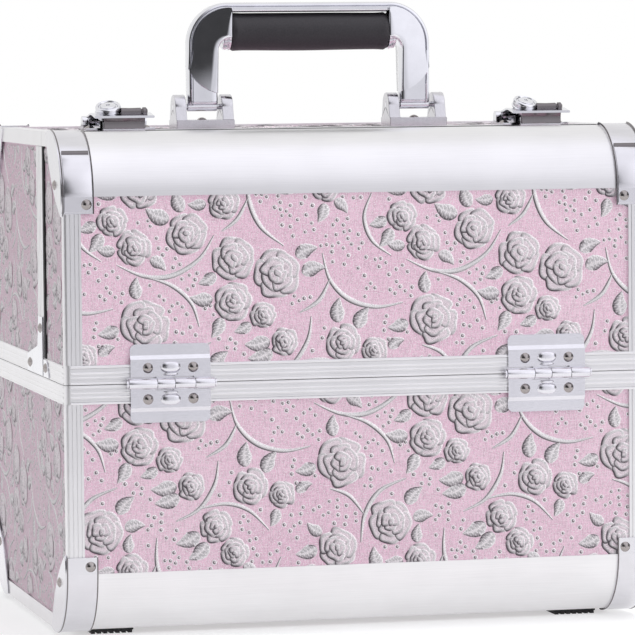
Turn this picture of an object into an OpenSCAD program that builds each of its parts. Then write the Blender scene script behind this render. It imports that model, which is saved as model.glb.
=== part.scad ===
// Beauty case with an aluminium frame, two lids that open to front and rear, a folding top
// handle, two latches and four cantilever trays. Millimetres, front at -Y, +Z up. The origin
// is under the middle of the body, on the plane that the feet stand on.

/* [Case] */
// Width over the aluminium bands
case_w = 305; // [285:1:345]
// Depth over the rolled front and rear edges
case_d = 220; // [218:1:250]
// Height of the body without feet and handle
body_h = 253.4; // [250:0.2:285]
// Height of the base, from the body's underside to the seam
seam_h = 127.2; // [122:0.2:130]
// Distance from the front face back to the joint between the lids
lid_split = 57.5; // [55:0.5:61]
// Radius of the rolled front and rear edges
roll_r = 32; // [30:0.5:34]
// Thickness of the covered boards
board_t = 4; // [3:0.1:4.5]
// Thickness of the fabric lining
liner_t = 1; // [0.5:0.1:1.2]
// Distance that the aluminium stands proud of the boards
proud = 1.2; // [0.9:0.1:1.5]
// Gap between pieces that part when the case opens
seam_gap = 0.3; // [0.2:0.05:0.4]

/* [Aluminium trim] */
// Height of each of the two bands at the seam
band_h = 9.8; // [8:0.1:11]
// Corner radius of the bands
band_r = 3; // [2:0.1:4]
// Width of the front leg of a corner post
post_w = 9.4; // [7:0.1:12]
// Width of the side leg of a corner post
post_side_w = 2.6; // [2.2:0.1:4]
// Corner radius of a corner post
post_r = 2; // [1.4:0.1:2.1]
// Height of the side rails at the top and bottom edges
rail_h = 7.6; // [6:0.1:10]
// Width of the rails' flange under the floor and over the top
rail_flange = 10; // [6:0.5:14]
// Width of the edge profile beside the joint between the lids
edge_w = 17; // [14:0.5:19]
// Width of the black seal beside that joint
seal_w = 3; // [2:0.1:4]
// Width of the grooves in the ribbed profiles
groove_w = 0.7; // [0.4:0.1:1]
// Depth of the grooves in the ribbed profiles
groove_d = 0.4; // [0.2:0.1:0.6]

/* [Corner caps and rivets] */
// Width of a corner cap across the front
cap_w = 16; // [14:0.5:18]
// Thickness of the corner caps
cap_t = 0.8; // [0.6:0.1:1.2]
// Length of the cap's tail past the rolled edge
cap_tail = 8.5; // [7:0.5:11]
// Height of the raised field on the upper caps
cap_step = 0.5; // [0.3:0.1:0.7]
// Radius of the inner edge of the cap's side plate
cap_side_r = 80; // [60:1:110]
// Distance of that inner edge from the centre of the rolled edge
cap_side_reach = 9.6; // [8:0.1:12]
// Distance of a cap's front rivet from the cap's inner edge
cap_rivet_in = 3.9; // [3.5:0.1:8]
// Distance of that rivet from the rolled edge, along the face
cap_rivet_drop = 3.8; // [3:0.1:5]
// Distance of a cap's side rivet from the centre of the rolled edge, front to rear
cap_side_rivet_y = 15.4; // [12:0.1:18]
// Height of the side rivet over that centre
cap_side_rivet_z = 5.6; // [3:0.1:12]
// Radius of the rivet heads
rivet_r = 2.65; // [2:0.05:3]
// Height of the rivet heads
rivet_h = 1.3; // [0.8:0.1:1.6]

/* [Hinges] */
// Distance of each case hinge from the side face
hinge_end = 54; // [47:0.5:70]
// Length of a hinge's knuckle
hinge_len = 44; // [40:1:48]
// Width of a hinge leaf
leaf_w = 41; // [38:1:43]
// Height of a hinge leaf above the seam
leaf_h = 19.8; // [18:0.2:22]
// Thickness of a hinge leaf
leaf_t = 1.2; // [1:0.1:1.4]
// Radius of a hinge's knuckle
knuckle_r = 2.8; // [2.6:0.1:2.8]
// Radius of a hinge pin
hinge_pin_r = 1.25; // [1:0.05:1.4]
// Distance of the hinge axis from the face of the case
hinge_out = 3; // [3:0.05:3.3]
// Distance of a hinge's rivets from its middle
hinge_rivet_x = 11.6; // [8:0.1:14]
// Height of a hinge's rivets over its axis
hinge_rivet_z = 7.9; // [7.4:0.1:8.4]
// Radial clearance of every pin in its hole
pin_fit = 0.05; // [0.03:0.01:0.08]

/* [Handle] */
// Distance of the handle from the body's middle, towards the front
handle_y = 2; // [0:0.5:8]
// Width over the handle's frame
handle_w = 132; // [125:1:140]
// Height of the handle's top above the case
handle_h = 65.6; // [62:0.2:75]
// Thickness of the handle's legs, front to rear
handle_t = 7; // [6:0.2:8]
// Thickness of the frame's corners at their outer edge
handle_rim_t = 8.4; // [8:0.2:10]
// Thickness of the frame's corners beside the grip
handle_corner_t = 18.6; // [16:0.2:20]
// Outer radius of the handle's top corners
handle_r = 22; // [16:0.5:24]
// Width of each leg of the handle
leg_w = 16.2; // [14:0.2:18]
// Width of each corner of the frame, between its side and the grip
leg_top_w = 23.5; // [22:0.5:27]
// Radius of the inside corners, under the ends of the grip
armpit_r = 6; // [4:0.5:7]
// Radius of the ledge at the lower end of the thick corners
ledge_r = 22; // [18:0.5:23]
// Distance of the ledge's centre from the handle's side
ledge_in = 20.5; // [18:0.5:22]
// Distance of the ledge's centre below the handle's top
ledge_drop = 26; // [24:0.5:28]
// Radius of the grip at its middle
grip_r = 10.2; // [9:0.1:11]
// Height of the frame's bar above the grip
handle_bar_t = 5.2; // [4:0.2:6]
// Depth of that bar, front to rear
handle_bar_d = 14; // [10:0.5:16]
// Height of the handle's pivot above the top panel
handle_pivot_h = 12; // [11.5:0.1:13]
// Radius of the handle's pins
handle_pin_r = 1.5; // [1.2:0.1:1.8]
// Radius of the ears' rounded tops
ear_r = 6.5; // [5.5:0.1:7]
// Thickness of each ear of a handle bracket
ear_t = 6; // [4:0.2:6.4]
// Gap between a leg and the ears beside it
ear_gap = 1.5; // [0.8:0.1:1.8]
// Depth of a handle bracket, front to rear
bracket_d = 20; // [16:1:24]
// Thickness of the bracket's base
bracket_base_t = 5.2; // [4:0.1:5.6]

/* [Latches] */
// Distance of each latch from the side face
latch_end = 41.5; // [34:0.5:46]
// Distance that a latch reaches ahead of the joint between the lids
latch_ahead = 10.5; // [9:0.5:12]
// Distance of a lever's pin behind that joint
latch_behind = 20.5; // [20:0.5:24]
// Width of a latch's base plate
latch_w = 36; // [32:1:40]
// Width of a latch's lever
lever_w = 27; // [22:1:30]
// Distance of a base plate's rivets from its ends
latch_rivet_in = 3.4; // [3:0.1:4]
// Thickness of the latch's plates
latch_t = 1.2; // [1:0.1:1.4]
// Height of the latch lever above the case
lever_h = 6; // [5.6:0.1:7]
// Radius of the lock barrel on a lever
barrel_r = 5; // [4:0.1:6]
// Radius of the rolled bar on a lever
bar_r = 1.8; // [1.4:0.1:2.2]

/* [Plates at the seam] */
// Distance of the plates from the joint between the lids
seam_plate_gap = 1.2; // [0.5:0.1:3]
// Length of the front lid's plate along the band
front_plate_l = 15; // [12:0.5:20]
// Length of the rear lid's plate along the band
rear_plate_l = 46; // [40:1:52]
// Height of the rear plate's upright leg over the seam
rear_plate_h = 31; // [26:0.5:36]
// Width of the rear plate's upright leg
rear_plate_w = 12; // [10:0.5:15]
// Height of the plates' lower rivets over the seam
plate_rivet_z = 5.3; // [4.5:0.1:6]

/* [Trays] */
// Height of a tray
tray_h = 29; // [24:0.5:30]
// Thickness of a tray's walls and floor
tray_t = 1.8; // [1.4:0.1:2.4]
// Corner radius of a tray
tray_r = 5; // [3:0.5:8]
// Distance between the ends of a tray and the lining
tray_end_gap = 4.8; // [4.6:0.1:5.2]
// Half of the gap between front and rear trays
tray_mid_gap = 3; // [2:0.5:6]
// Distance of an upper tray's outer wall from the face of the case
upper_inset = 11.5; // [11:0.1:14]
// Distance of a lower tray's outer wall from the face of the case
lower_inset = 13; // [12.6:0.1:16]
// Thickness of the tray arms
arm_t = 1.5; // [1.2:0.1:1.6]
// Half of the width of the tray arms
arm_r = 5; // [4.4:0.1:5]
// Length of a long arm between its root and the upper tray
long_arm = 86; // [84:0.5:87]
// Length of an arm between its root and the lower tray
short_arm = 38; // [36:0.5:39]
// Lean of the closed arms away from vertical, in degrees
arm_lean = 40.4; // [39.5:0.1:41]
// Distance of the long arm's root from the face of the case
long_root = 30; // [29:0.5:32]
// Distance between the roots of the long and the short arm
root_step = 40; // [38:0.5:42]
// Depth of the arm roots below the seam
root_drop = 5.2; // [5:0.1:6]
// Height of a tray's pivots above its underside
tray_pivot_h = 5; // [4.6:0.1:6]
// Radius of the tray pins
tray_pin_r = 2.5; // [2:0.1:2.8]
// Radial clearance of the pins that join the upper trays to the lids
free_fit = 0.3; // [0.2:0.05:0.4]

/* [Feet] */
// Height of the feet below the body
foot_h = 3; // [2:0.1:6]
// Length of a foot along the case
foot_l = 22.5; // [18:0.5:28]
// Depth of a foot, front to rear
foot_d = 16; // [12:0.5:20]
// Gap between each foot and the bottom rail beside it
foot_gap_x = 7.75; // [1:0.25:30]
// Gap between each foot and the rolled edge
foot_gap_y = 2; // [1:0.5:18]
// Number of ribs under a foot
foot_ribs = 7; // [4:1:9]

/* [Hidden] */
$fn = 48;

// Colours as photographed
pink = [0.91, 0.72, 0.80];
satin = [0.86, 0.86, 0.88];
chrome = [0.70, 0.72, 0.76];
black = [0.08, 0.08, 0.09];
velvet = [0.20, 0.18, 0.21];

// Half sizes and levels of the body
hw = case_w / 2;
hd = case_d / 2;
bottom_z = foot_h;
seam_z = foot_h + seam_h;
top_z = foot_h + body_h;
split_y = lid_split - hd;

// Wall stack: boards, then lining, as insets from the outer envelope
board_in = proud + board_t;
liner_in = board_in + liner_t;
panel_x = hw - proud;
flat_y = hd - roll_r;
band_lo = seam_z - band_h;
band_hi = seam_z + band_h;

// Hinge axis of a lid, and the closed arms, as (distance outward from the middle, height)
hinge_u = hd + hinge_out;
arm_dir = [-sin(arm_lean), cos(arm_lean)];
long_base = [hd - long_root, seam_z - root_drop];
short_base = long_base - [root_step, 0];
lower_a = long_base + short_arm * arm_dir;
lower_b = short_base + short_arm * arm_dir;
upper_a = long_base + long_arm * arm_dir;
lid_pivot = [hinge_u, seam_z] + long_arm * arm_dir;

// Layers between a tray's end and the lining, along X
liner_x = hw - liner_in;
tray_x = liner_x - tray_end_gap;
arm_in = liner_x - tray_end_gap * 0.6;
arm_out = arm_in + arm_t;
layer_gap = 0.1;
head_t = 0.6;
pin_head_r = tray_pin_r + 1.4;
root_flange_r = 4.4;

// Stations along X and Y that follow from the distances
hinge_x = hw - hinge_end;
latch_x = hw - latch_end;
latch_front = split_y - latch_ahead;
latch_axis_y = split_y + latch_behind;
latch_axis_z = top_z + latch_t + 3;
ear_w = 3;
latch_pin_r = 1.2;
foot_x = hw - rail_flange - foot_gap_x - foot_l / 2;
foot_y = flat_y - foot_gap_y - foot_d / 2;

// Handle stations
top_panel_z = top_z - proud;
handle_axis_z = top_panel_z + handle_pivot_h;
leg_x = (handle_w - leg_w) / 2;

// Gap where two pieces of trim meet at a mitre
mitre_gap = 0.2;

// ---- helpers -------------------------------------------------------------------------

// A (Y, Z) drawing extruded along X from x0 to x1
module across(x0, x1) {
  rotate([90, 0, 90]) translate([0, 0, x0]) linear_extrude(x1 - x0) children();
}

// The children and their mirror image on the other side of the case
module left_and_right() {
  children();
  mirror([1, 0, 0]) children();
}

// The children and their mirror image at the rear of the case
module front_and_rear() {
  children();
  mirror([0, 1, 0]) children();
}

// A box between two corners
module span(lo, hi) {
  translate(lo) cube(hi - lo);
}

// All space between two depths and two heights
module zone(y0, y1, z0, z1) {
  span([-case_w, y0, z0], [case_w, y1, z1]);
}

// Side outline of the body, drawn in (Y, Z), inset from the envelope
module outline(inset) {
  r = roll_r - inset;
  for (y = [-flat_y, flat_y], z = [bottom_z + roll_r, top_z - roll_r])
    translate([y, z]) circle(r);
  translate([-flat_y, bottom_z + inset]) square([2 * flat_y, body_h - 2 * inset]);
  translate([-hd + inset, bottom_z + roll_r]) square([case_d - 2 * inset, body_h - 2 * roll_r]);
}

// Rectangle with rounded corners, between two corners
module round_rect(lo, hi, r) {
  for (x = [lo[0] + r, hi[0] - r], y = [lo[1] + r, hi[1] - r])
    translate([x, y]) circle(r);
  translate([lo[0] + r, lo[1]]) square([hi[0] - lo[0] - 2 * r, hi[1] - lo[1]]);
  translate([lo[0], lo[1] + r]) square([hi[0] - lo[0], hi[1] - lo[1] - 2 * r]);
}

// Domed rivet head on the plane z = 0
module rivet() {
  dome_r = (rivet_r * rivet_r + rivet_h * rivet_h) / (2 * rivet_h);
  intersection() {
    translate([0, 0, rivet_h - dome_r]) sphere(dome_r);
    cylinder(r = rivet_r + 1, h = rivet_h + 1);
  }
}

// Rivet on a face towards the front, or towards +X
module front_rivet(x, y, z) {
  translate([x, y, z]) rotate([90, 0, 0]) rivet();
}
module side_rivet(x, y, z) {
  translate([x, y, z]) rotate([0, 90, 0]) rivet();
}
module top_rivet(x, y, z) {
  translate([x, y, z]) rivet();
}

// Flat bar with round ends between two points of a (Y, Z) drawing
module bar_2d(p, q, r) {
  d = q - p;
  for (c = [p, q]) translate(c) circle(r);
  translate(p) rotate(atan2(d[1], d[0])) translate([0, -r]) square([norm(d), 2 * r]);
}

// ---- boards, rolls and trim -------------------------------------------------------------

// Board of the front face between two heights
module front_board(z0, z1) {
  color(pink) span([-panel_x, -hd + proud, z0], [panel_x, -hd + board_in, z1]);
}

// Side boards, cut to a zone of the side outline
module side_boards(y0, y1, z0, z1) {
  color(pink) left_and_right() intersection() {
    across(panel_x - board_t, panel_x) outline(board_in);
    zone(y0, y1, z0, z1);
  }
}

// Board of the top between two depths
module top_board(y0, y1) {
  color(pink) span([-panel_x, y0, top_z - board_in], [panel_x, y1, top_panel_z]);
}

// Quarter-round section of a rolled edge about its own centre, towards -Y and +Z
module roll_2d(r_out, r_in) {
  intersection() {
    difference() {
      circle(r_out, $fn = 96);
      circle(r_in, $fn = 96);
    }
    translate([-r_out, 0]) square(r_out);
  }
}

// Rolled edge at the top front, and at the bottom front
module top_roll() {
  color(satin) across(-panel_x, panel_x)
    translate([-flat_y, top_z - roll_r]) roll_2d(roll_r, roll_r - board_in);
}
module bottom_roll() {
  color(satin) across(-panel_x, panel_x)
    translate([-flat_y, bottom_z + roll_r]) mirror([0, 1]) roll_2d(roll_r, roll_r - board_in);
}

// Ribbed corner post at the front, on both sides
module corner_posts(z0, z1) {
  grooves = [0.38, 0.62, 0.84];
  color(satin) left_and_right() translate([0, 0, z0]) linear_extrude(z1 - z0) difference() {
    union() {
      translate([hw - post_w, -hd]) square([post_w - post_r, proud]);
      translate([panel_x, -hd + post_r]) square([proud, post_side_w - post_r]);
      intersection() {
        translate([hw - post_r, -hd + post_r]) circle(post_r);
        translate([hw - post_r, -hd]) square(post_r);
      }
    }
    translate([0, -hd + proud]) square([panel_x, hd]);
    for (g = grooves)
      translate([hw - g * post_w - groove_w / 2, -hd]) square([groove_w, groove_d]);
  }
}

// Angle rails along the side edges: at the bottom, and at the top between two depths
module rail_section() {
  square([proud, rail_h]);
  translate([proud - rail_flange, 0]) square([rail_flange, proud]);
}
module bottom_rails() {
  color(satin) left_and_right() translate([panel_x, flat_y, bottom_z])
    rotate([90, 0, 0]) linear_extrude(2 * flat_y) rail_section();
}
module top_rails(y0, y1) {
  color(satin) left_and_right() translate([panel_x, y1, top_z])
    rotate([90, 0, 0]) linear_extrude(y1 - y0) mirror([0, 1]) rail_section();
}

// Band round the whole body between two heights, ribbed at front and rear
module seam_ring(z0, z1, grooves) {
  color(satin) difference() {
    translate([0, 0, z0]) linear_extrude(z1 - z0) difference() {
      round_rect([-hw, -hd], [hw, hd], band_r);
      square([2 * liner_x, case_d - 2 * liner_in], center = true);
    }
    front_and_rear() for (g = grooves)
      span([-hw + band_r, -hd - 1, g - groove_w / 2], [hw - band_r, -hd + groove_d, g + groove_w / 2]);
  }
}
module lid_band(y0, y1) {
  intersection() {
    seam_ring(seam_z + seam_gap / 2, band_hi, [seam_z + 0.28 * band_h, seam_z + 0.86 * band_h]);
    zone(y0, y1, seam_z, band_hi + 1);
  }
}

// Lining: a thin shell inside the boards, open where the zone cuts it
module lining(y0, y1, z0, z1) {
  color(velvet) intersection() {
    difference() {
      across(-liner_x - liner_t, liner_x + liner_t) outline(board_in);
      across(-liner_x, liner_x) outline(liner_in);
    }
    zone(y0, y1, z0, z1);
  }
}

// ---- corner caps ---------------------------------------------------------------------------

// Side plate of a cap: the overlap of two discs, about the centre of the rolled edge
module cap_side_2d() {
  intersection() {
    circle(roll_r + cap_t, $fn = 96);
    translate((cap_side_reach + cap_side_r) * [-cos(45), sin(45)]) circle(cap_side_r, $fn = 180);
  }
}

// Quarter disc towards -Y and +Z
module quarter_2d(r) {
  intersection() {
    circle(r, $fn = 96);
    translate([-r, 0]) square(r);
  }
}

// Cap on the top front corner at +X, about the centre of the rolled edge
module corner_cap(step) {
  color(chrome) {
    across(hw - cap_w, hw) {
      roll_2d(roll_r + cap_t, roll_r);
      translate([-roll_r - cap_t, -cap_tail]) square([cap_t, cap_tail]);
    }
    if (step > 0) across(hw - cap_w + 1, hw - 1) intersection() {
      union() {
        roll_2d(roll_r + cap_t + step, roll_r + cap_t / 2);
        translate([-roll_r - cap_t - step, -cap_tail + 1]) square([cap_t, cap_tail - 1]);
      }
      translate([-2 * roll_r, -cap_tail]) square([2 * roll_r, cap_tail + roll_r * 0.66]);
    }
    across(hw, hw + cap_t) cap_side_2d();
    across(panel_x, hw) intersection() {
      cap_side_2d();
      quarter_2d(roll_r + cap_t / 2);
    }
  }
}
module top_caps() {
  left_and_right() translate([0, -flat_y, top_z - roll_r]) corner_cap(cap_step);
}
module bottom_caps() {
  left_and_right() translate([0, -flat_y, bottom_z + roll_r]) mirror([0, 0, 1]) corner_cap(0);
}

// The two rivets of the cap at +X, about the centre of the rolled edge
module cap_rivets(step) {
  front_rivet(hw - cap_w + cap_rivet_in, -roll_r - cap_t - step, -cap_rivet_drop);
  side_rivet(hw + cap_t, -cap_side_rivet_y, cap_side_rivet_z);
}

// ---- hinges ---------------------------------------------------------------------------------

// Ends of the knuckle's segments along X, from the hinge's centre
knuckle_cuts = hinge_len * [-0.5, -0.17, 0.034, 0.273, 0.5];
leaf_gap = 0.3;

// Leaf that rises from the hinge axis, with every second knuckle from the given one
module hinge_leaf(first) {
  face = hinge_out - leaf_t;
  root = knuckle_r + 0.6;
  bend = band_h + 2.4;
  color(chrome) difference() {
    union() {
      intersection() {
        across(-leaf_w / 2, leaf_w / 2) polygon([
          [face, root], [face, bend], [face + proud, bend + 2], [face + proud, leaf_h],
          [hinge_out + proud, leaf_h], [hinge_out + proud, bend + 1],
          [hinge_out, bend - 1], [hinge_out, root]
        ]);
        rotate([90, 0, 0]) linear_extrude(20, center = true)
          round_rect([-leaf_w / 2, -5], [leaf_w / 2, leaf_h], 3);
      }
      for (i = [first : 2 : 3]) {
        x0 = knuckle_cuts[i] + leaf_gap / 2;
        x1 = knuckle_cuts[i + 1] - leaf_gap / 2;
        translate([x0, 0, 0]) rotate([0, 90, 0]) cylinder(r = knuckle_r, h = x1 - x0);
        span([max(x0, -leaf_w / 2), face, 0], [min(x1, leaf_w / 2), hinge_out, root + 0.5]);
      }
    }
    rotate([0, 90, 0]) cylinder(r = hinge_pin_r + pin_fit, h = 2 * hinge_len, center = true);
  }
}

// The children at both hinges of the front, whose axis is their X axis
module at_hinges() {
  for (x = [-hinge_x, hinge_x]) translate([x, -hinge_u, seam_z]) children();
}
module hinge_rivets() {
  for (x = [-hinge_rivet_x, hinge_rivet_x]) front_rivet(x, hinge_out - leaf_t, hinge_rivet_z);
}
module hinge_pin() {
  head_r = hinge_pin_r + 0.9;
  color(chrome) rotate([0, 90, 0]) {
    cylinder(r = hinge_pin_r, h = hinge_len + 0.4, center = true);
    for (s = [-1, 1]) translate([0, 0, s * (hinge_len / 2 + 0.6)])
      cylinder(r = head_r, h = 0.8, center = true);
  }
}

// ---- base ------------------------------------------------------------------------------------

module base_front_panel() {
  front_board(bottom_z + roll_r, band_lo);
}
module base_rear_panel() {
  mirror([0, 1, 0]) front_board(bottom_z + roll_r, band_lo);
}
module base_side_panels() {
  side_boards(-hd, hd, 0, band_lo);
}
module base_floor_panel() {
  color(pink) span([-panel_x, -flat_y, bottom_z + proud], [panel_x, flat_y, bottom_z + board_in]);
}
module base_edge_rolls() {
  front_and_rear() bottom_roll();
}
module base_edge_profiles() {
  front_and_rear() corner_posts(bottom_z + roll_r, band_lo);
  bottom_rails();
}
module base_seam_band() {
  seam_ring(band_lo, seam_z - seam_gap / 2,
            [seam_z - 0.22 * band_h, seam_z - 0.74 * band_h, seam_z - 0.88 * band_h]);
}
module base_corner_caps() {
  front_and_rear() bottom_caps();
}
module base_rivets() {
  color(chrome) front_and_rear() {
    left_and_right() translate([0, -flat_y, bottom_z + roll_r]) mirror([0, 0, 1]) cap_rivets(0);
    at_hinges() mirror([0, 0, 1]) hinge_rivets();
  }
}
module base_lining() {
  lining(-hd, hd, 0, band_lo);
}
module base_hinge_leaves() {
  front_and_rear() at_hinges() mirror([0, 0, 1]) hinge_leaf(0);
}
module hinge_pins() {
  front_and_rear() at_hinges() hinge_pin();
}

// Stud on the band's inner face that carries the root of an arm
module arm_pivot(p) {
  translate([0, -p[0], p[1]]) rotate([0, 90, 0]) {
    translate([0, 0, arm_out + layer_gap]) cylinder(r = root_flange_r, h = liner_x - arm_out - layer_gap);
    translate([0, 0, arm_in - layer_gap]) cylinder(r = tray_pin_r, h = liner_x - arm_in);
    translate([0, 0, arm_in - layer_gap - head_t]) cylinder(r = pin_head_r, h = head_t);
  }
}
module base_arm_pivots() {
  color(chrome) front_and_rear() left_and_right() for (p = [long_base, short_base]) arm_pivot(p);
}
module feet() {
  pitch = foot_l / foot_ribs;
  color(black) front_and_rear() left_and_right() translate([foot_x - foot_l / 2, -foot_y - foot_d / 2, 0]) {
    translate([0, 0, foot_h / 2]) cube([foot_l, foot_d, foot_h / 2 + proud]);
    for (i = [0 : foot_ribs - 1])
      translate([(i + 0.2) * pitch, 0, 0]) cube([0.6 * pitch, foot_d, foot_h / 2 + 0.1]);
  }
}

// ---- both lids --------------------------------------------------------------------------------

// Depth at which each lid ends, beside the joint between them, and at which the seal starts
front_end = split_y - seam_gap / 2;
rear_end = split_y + seam_gap / 2;
seal_y = front_end - seal_w;

// Pin on a lid's lining that carries the outer end of the upper tray
module lid_tray_pins() {
  color(chrome) left_and_right() translate([0, -lid_pivot[0], lid_pivot[1]]) rotate([0, 90, 0]) {
    translate([0, 0, tray_x + 0.4]) cylinder(r = tray_pin_r + 1.5, h = liner_x - tray_x - 0.4);
    translate([0, 0, tray_x - tray_t - 0.4]) cylinder(r = tray_pin_r, h = tray_t + 1);
  }
}

// Plate on both side faces, from a (Y, Z) outline
module side_plates(points) {
  color(chrome) left_and_right() across(hw, hw + cap_t) polygon(points);
}

// ---- front lid ---------------------------------------------------------------------------------

module front_lid_front_panel() {
  front_board(band_hi, top_z - roll_r);
}
module front_lid_top_panel() {
  top_board(-flat_y, seal_y);
}
module front_lid_side_panels() {
  side_boards(-hd, seal_y, band_hi, top_z);
}
module front_lid_roll() {
  top_roll();
}
module front_lid_edge_profiles() {
  corner_posts(band_hi, top_z - roll_r);
  top_rails(-flat_y, front_end);
}

// Black seal along the front lid's free edge: over both sides and the top
module front_lid_edge_seal() {
  lip = proud - 0.15;
  arch_x = hw - rail_flange - mitre_gap;
  color(black) {
    left_and_right() {
      span([panel_x - board_t, seal_y, band_hi], [panel_x, front_end, top_z - board_in]);
      span([panel_x - 0.1, seal_y, band_hi], [panel_x + lip, front_end, top_z - rail_h - mitre_gap]);
    }
    span([-panel_x, seal_y, top_z - board_in], [panel_x, front_end, top_panel_z]);
    span([-arch_x, seal_y, top_panel_z - 0.1], [arch_x, front_end, top_panel_z + lip]);
  }
}
module front_lid_seam_band() {
  lid_band(-case_d, front_end);
}
module front_lid_corner_caps() {
  top_caps();
}

// Small plate on the band beside the joint between the lids
plate_lo = seam_z + 0.5;
plate_hi = band_hi - 0.3;
front_plate_y = split_y - seam_plate_gap;
module front_lid_seam_plates() {
  side_plates([[front_plate_y - front_plate_l, plate_lo], [front_plate_y, plate_lo],
               [front_plate_y, plate_hi], [front_plate_y - front_plate_l + 6, plate_hi]]);
}
module front_lid_rivets() {
  color(chrome) {
    left_and_right() translate([0, -flat_y, top_z - roll_r]) cap_rivets(cap_step);
    at_hinges() hinge_rivets();
    left_and_right() side_rivet(hw + cap_t, front_plate_y - rear_plate_w / 2, seam_z + plate_rivet_z);
    for (x = [-latch_x, latch_x], s = [-1, 1])
      top_rivet(x + s * catch_w / 4, lip_y + latch_t + rivet_r + 0.2, top_panel_z + latch_t);
  }
}
module front_lid_hinge_leaves() {
  at_hinges() hinge_leaf(1);
}

// Catch with an upright lip, which the latch's hook closes over
lip_y = latch_front + 2.2;
catch_w = lever_w - 5;
module front_lid_latch_catches() {
  color(chrome) for (x = [-latch_x, latch_x]) translate([x, 0, top_panel_z]) {
    span([-catch_w / 2, lip_y, 0], [catch_w / 2, seal_y - 0.3, latch_t]);
    span([-catch_w / 2, lip_y, 0], [catch_w / 2, lip_y + latch_t, lever_h - 0.6]);
  }
}
module front_lid_lining() {
  lining(-hd, front_end, band_hi, top_z);
}
module front_lid_tray_pins() {
  lid_tray_pins();
}

// ---- rear lid -----------------------------------------------------------------------------------

module rear_lid_rear_panel() {
  mirror([0, 1, 0]) front_board(band_hi, top_z - roll_r);
}
module rear_lid_top_panel() {
  top_board(rear_end, flat_y);
}
module rear_lid_side_panels() {
  side_boards(rear_end, hd, band_hi, top_z);
}
module rear_lid_roll() {
  mirror([0, 1, 0]) top_roll();
}

// Ribbed profile along the rear lid's free edge: two uprights and a strip over the top
module lid_edge_profile() {
  cuts = [0.3, 0.55, 0.8];
  color(satin) left_and_right() difference() {
    span([panel_x, rear_end, band_hi], [hw, rear_end + edge_w, top_z - rail_h - mitre_gap]);
    for (g = cuts)
      span([hw - groove_d, rear_end + g * edge_w, 0], [hw + 1, rear_end + g * edge_w + groove_w, top_z]);
  }
  color(satin) difference() {
    span([-hw + rail_flange + mitre_gap, rear_end, top_panel_z],
         [hw - rail_flange - mitre_gap, rear_end + edge_w, top_z]);
    for (g = cuts)
      span([-hw, rear_end + g * edge_w, top_z - groove_d], [hw, rear_end + g * edge_w + groove_w, top_z + 1]);
  }
}
module rear_lid_edge_profiles() {
  mirror([0, 1, 0]) corner_posts(band_hi, top_z - roll_r);
  top_rails(rear_end, flat_y);
  lid_edge_profile();
}
module rear_lid_seam_band() {
  lid_band(rear_end, case_d);
}
module rear_lid_corner_caps() {
  mirror([0, 1, 0]) top_caps();
}

// Angle plate over the foot of the edge profile and the band
rear_plate_y = split_y + seam_plate_gap;
module rear_lid_seam_plates() {
  leg_top = seam_z + rear_plate_h;
  side_plates([[rear_plate_y, plate_lo], [rear_plate_y + rear_plate_l, plate_lo],
               [rear_plate_y + rear_plate_l, plate_hi], [rear_plate_y + rear_plate_w + 3, plate_hi + 6],
               [rear_plate_y + rear_plate_w, leg_top], [rear_plate_y, leg_top]]);
}
module rear_lid_rivets() {
  color(chrome) {
    mirror([0, 1, 0]) {
      left_and_right() translate([0, -flat_y, top_z - roll_r]) cap_rivets(cap_step);
      at_hinges() hinge_rivets();
    }
    left_and_right() {
      side_rivet(hw + cap_t, rear_plate_y + rear_plate_w / 2, seam_z + rear_plate_h - rear_plate_w / 2);
      side_rivet(hw + cap_t, rear_plate_y + rear_plate_l - 8, seam_z + plate_rivet_z);
    }
    for (x = [-latch_x, latch_x], s = [-1, 1])
      top_rivet(x + s * (latch_w / 2 - latch_rivet_in), split_y + latch_behind / 2, top_z + latch_t);
    for (s = [-1, 1]) top_rivet(s * leg_x, -handle_y, top_panel_z + bracket_base_t);
  }
}
module rear_lid_hinge_leaves() {
  mirror([0, 1, 0]) at_hinges() hinge_leaf(1);
}

// Latch base: a plate, a raised body and two ears with the lever's pin
module latch_base() {
  y0 = rear_end + 0.8;
  y1 = latch_axis_y + 3;
  body_w = lever_w - 6;
  ear_x = lever_w / 2 + 0.3;
  color(chrome) {
    span([-latch_w / 2, y0, top_z], [latch_w / 2, y1, top_z + latch_t]);
    span([-latch_w / 2, rear_end + edge_w + 0.1, top_panel_z], [latch_w / 2, y1, top_z + 0.1]);
    span([-body_w / 2, y0 + 2, top_z], [body_w / 2, latch_axis_y - 4.4, top_z + lever_h - 1.2]);
    for (s = [-1, 1]) translate([s * (ear_x + ear_w / 2), latch_axis_y, 0]) {
      span([-ear_w / 2, -3, top_z], [ear_w / 2, 3, latch_axis_z]);
      translate([0, 0, latch_axis_z]) rotate([0, 90, 0]) cylinder(r = 3, h = ear_w, center = true);
    }
    translate([0, latch_axis_y, latch_axis_z]) rotate([0, 90, 0])
      cylinder(r = latch_pin_r, h = 2 * ear_x + 1, center = true);
  }
}
module rear_lid_latch_bases() {
  for (x = [-latch_x, latch_x]) translate([x, 0, 0]) latch_base();
}
module rear_lid_lining() {
  lining(rear_end, hd, band_hi, top_z);
}
module rear_lid_tray_pins() {
  mirror([0, 1, 0]) lid_tray_pins();
}

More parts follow.
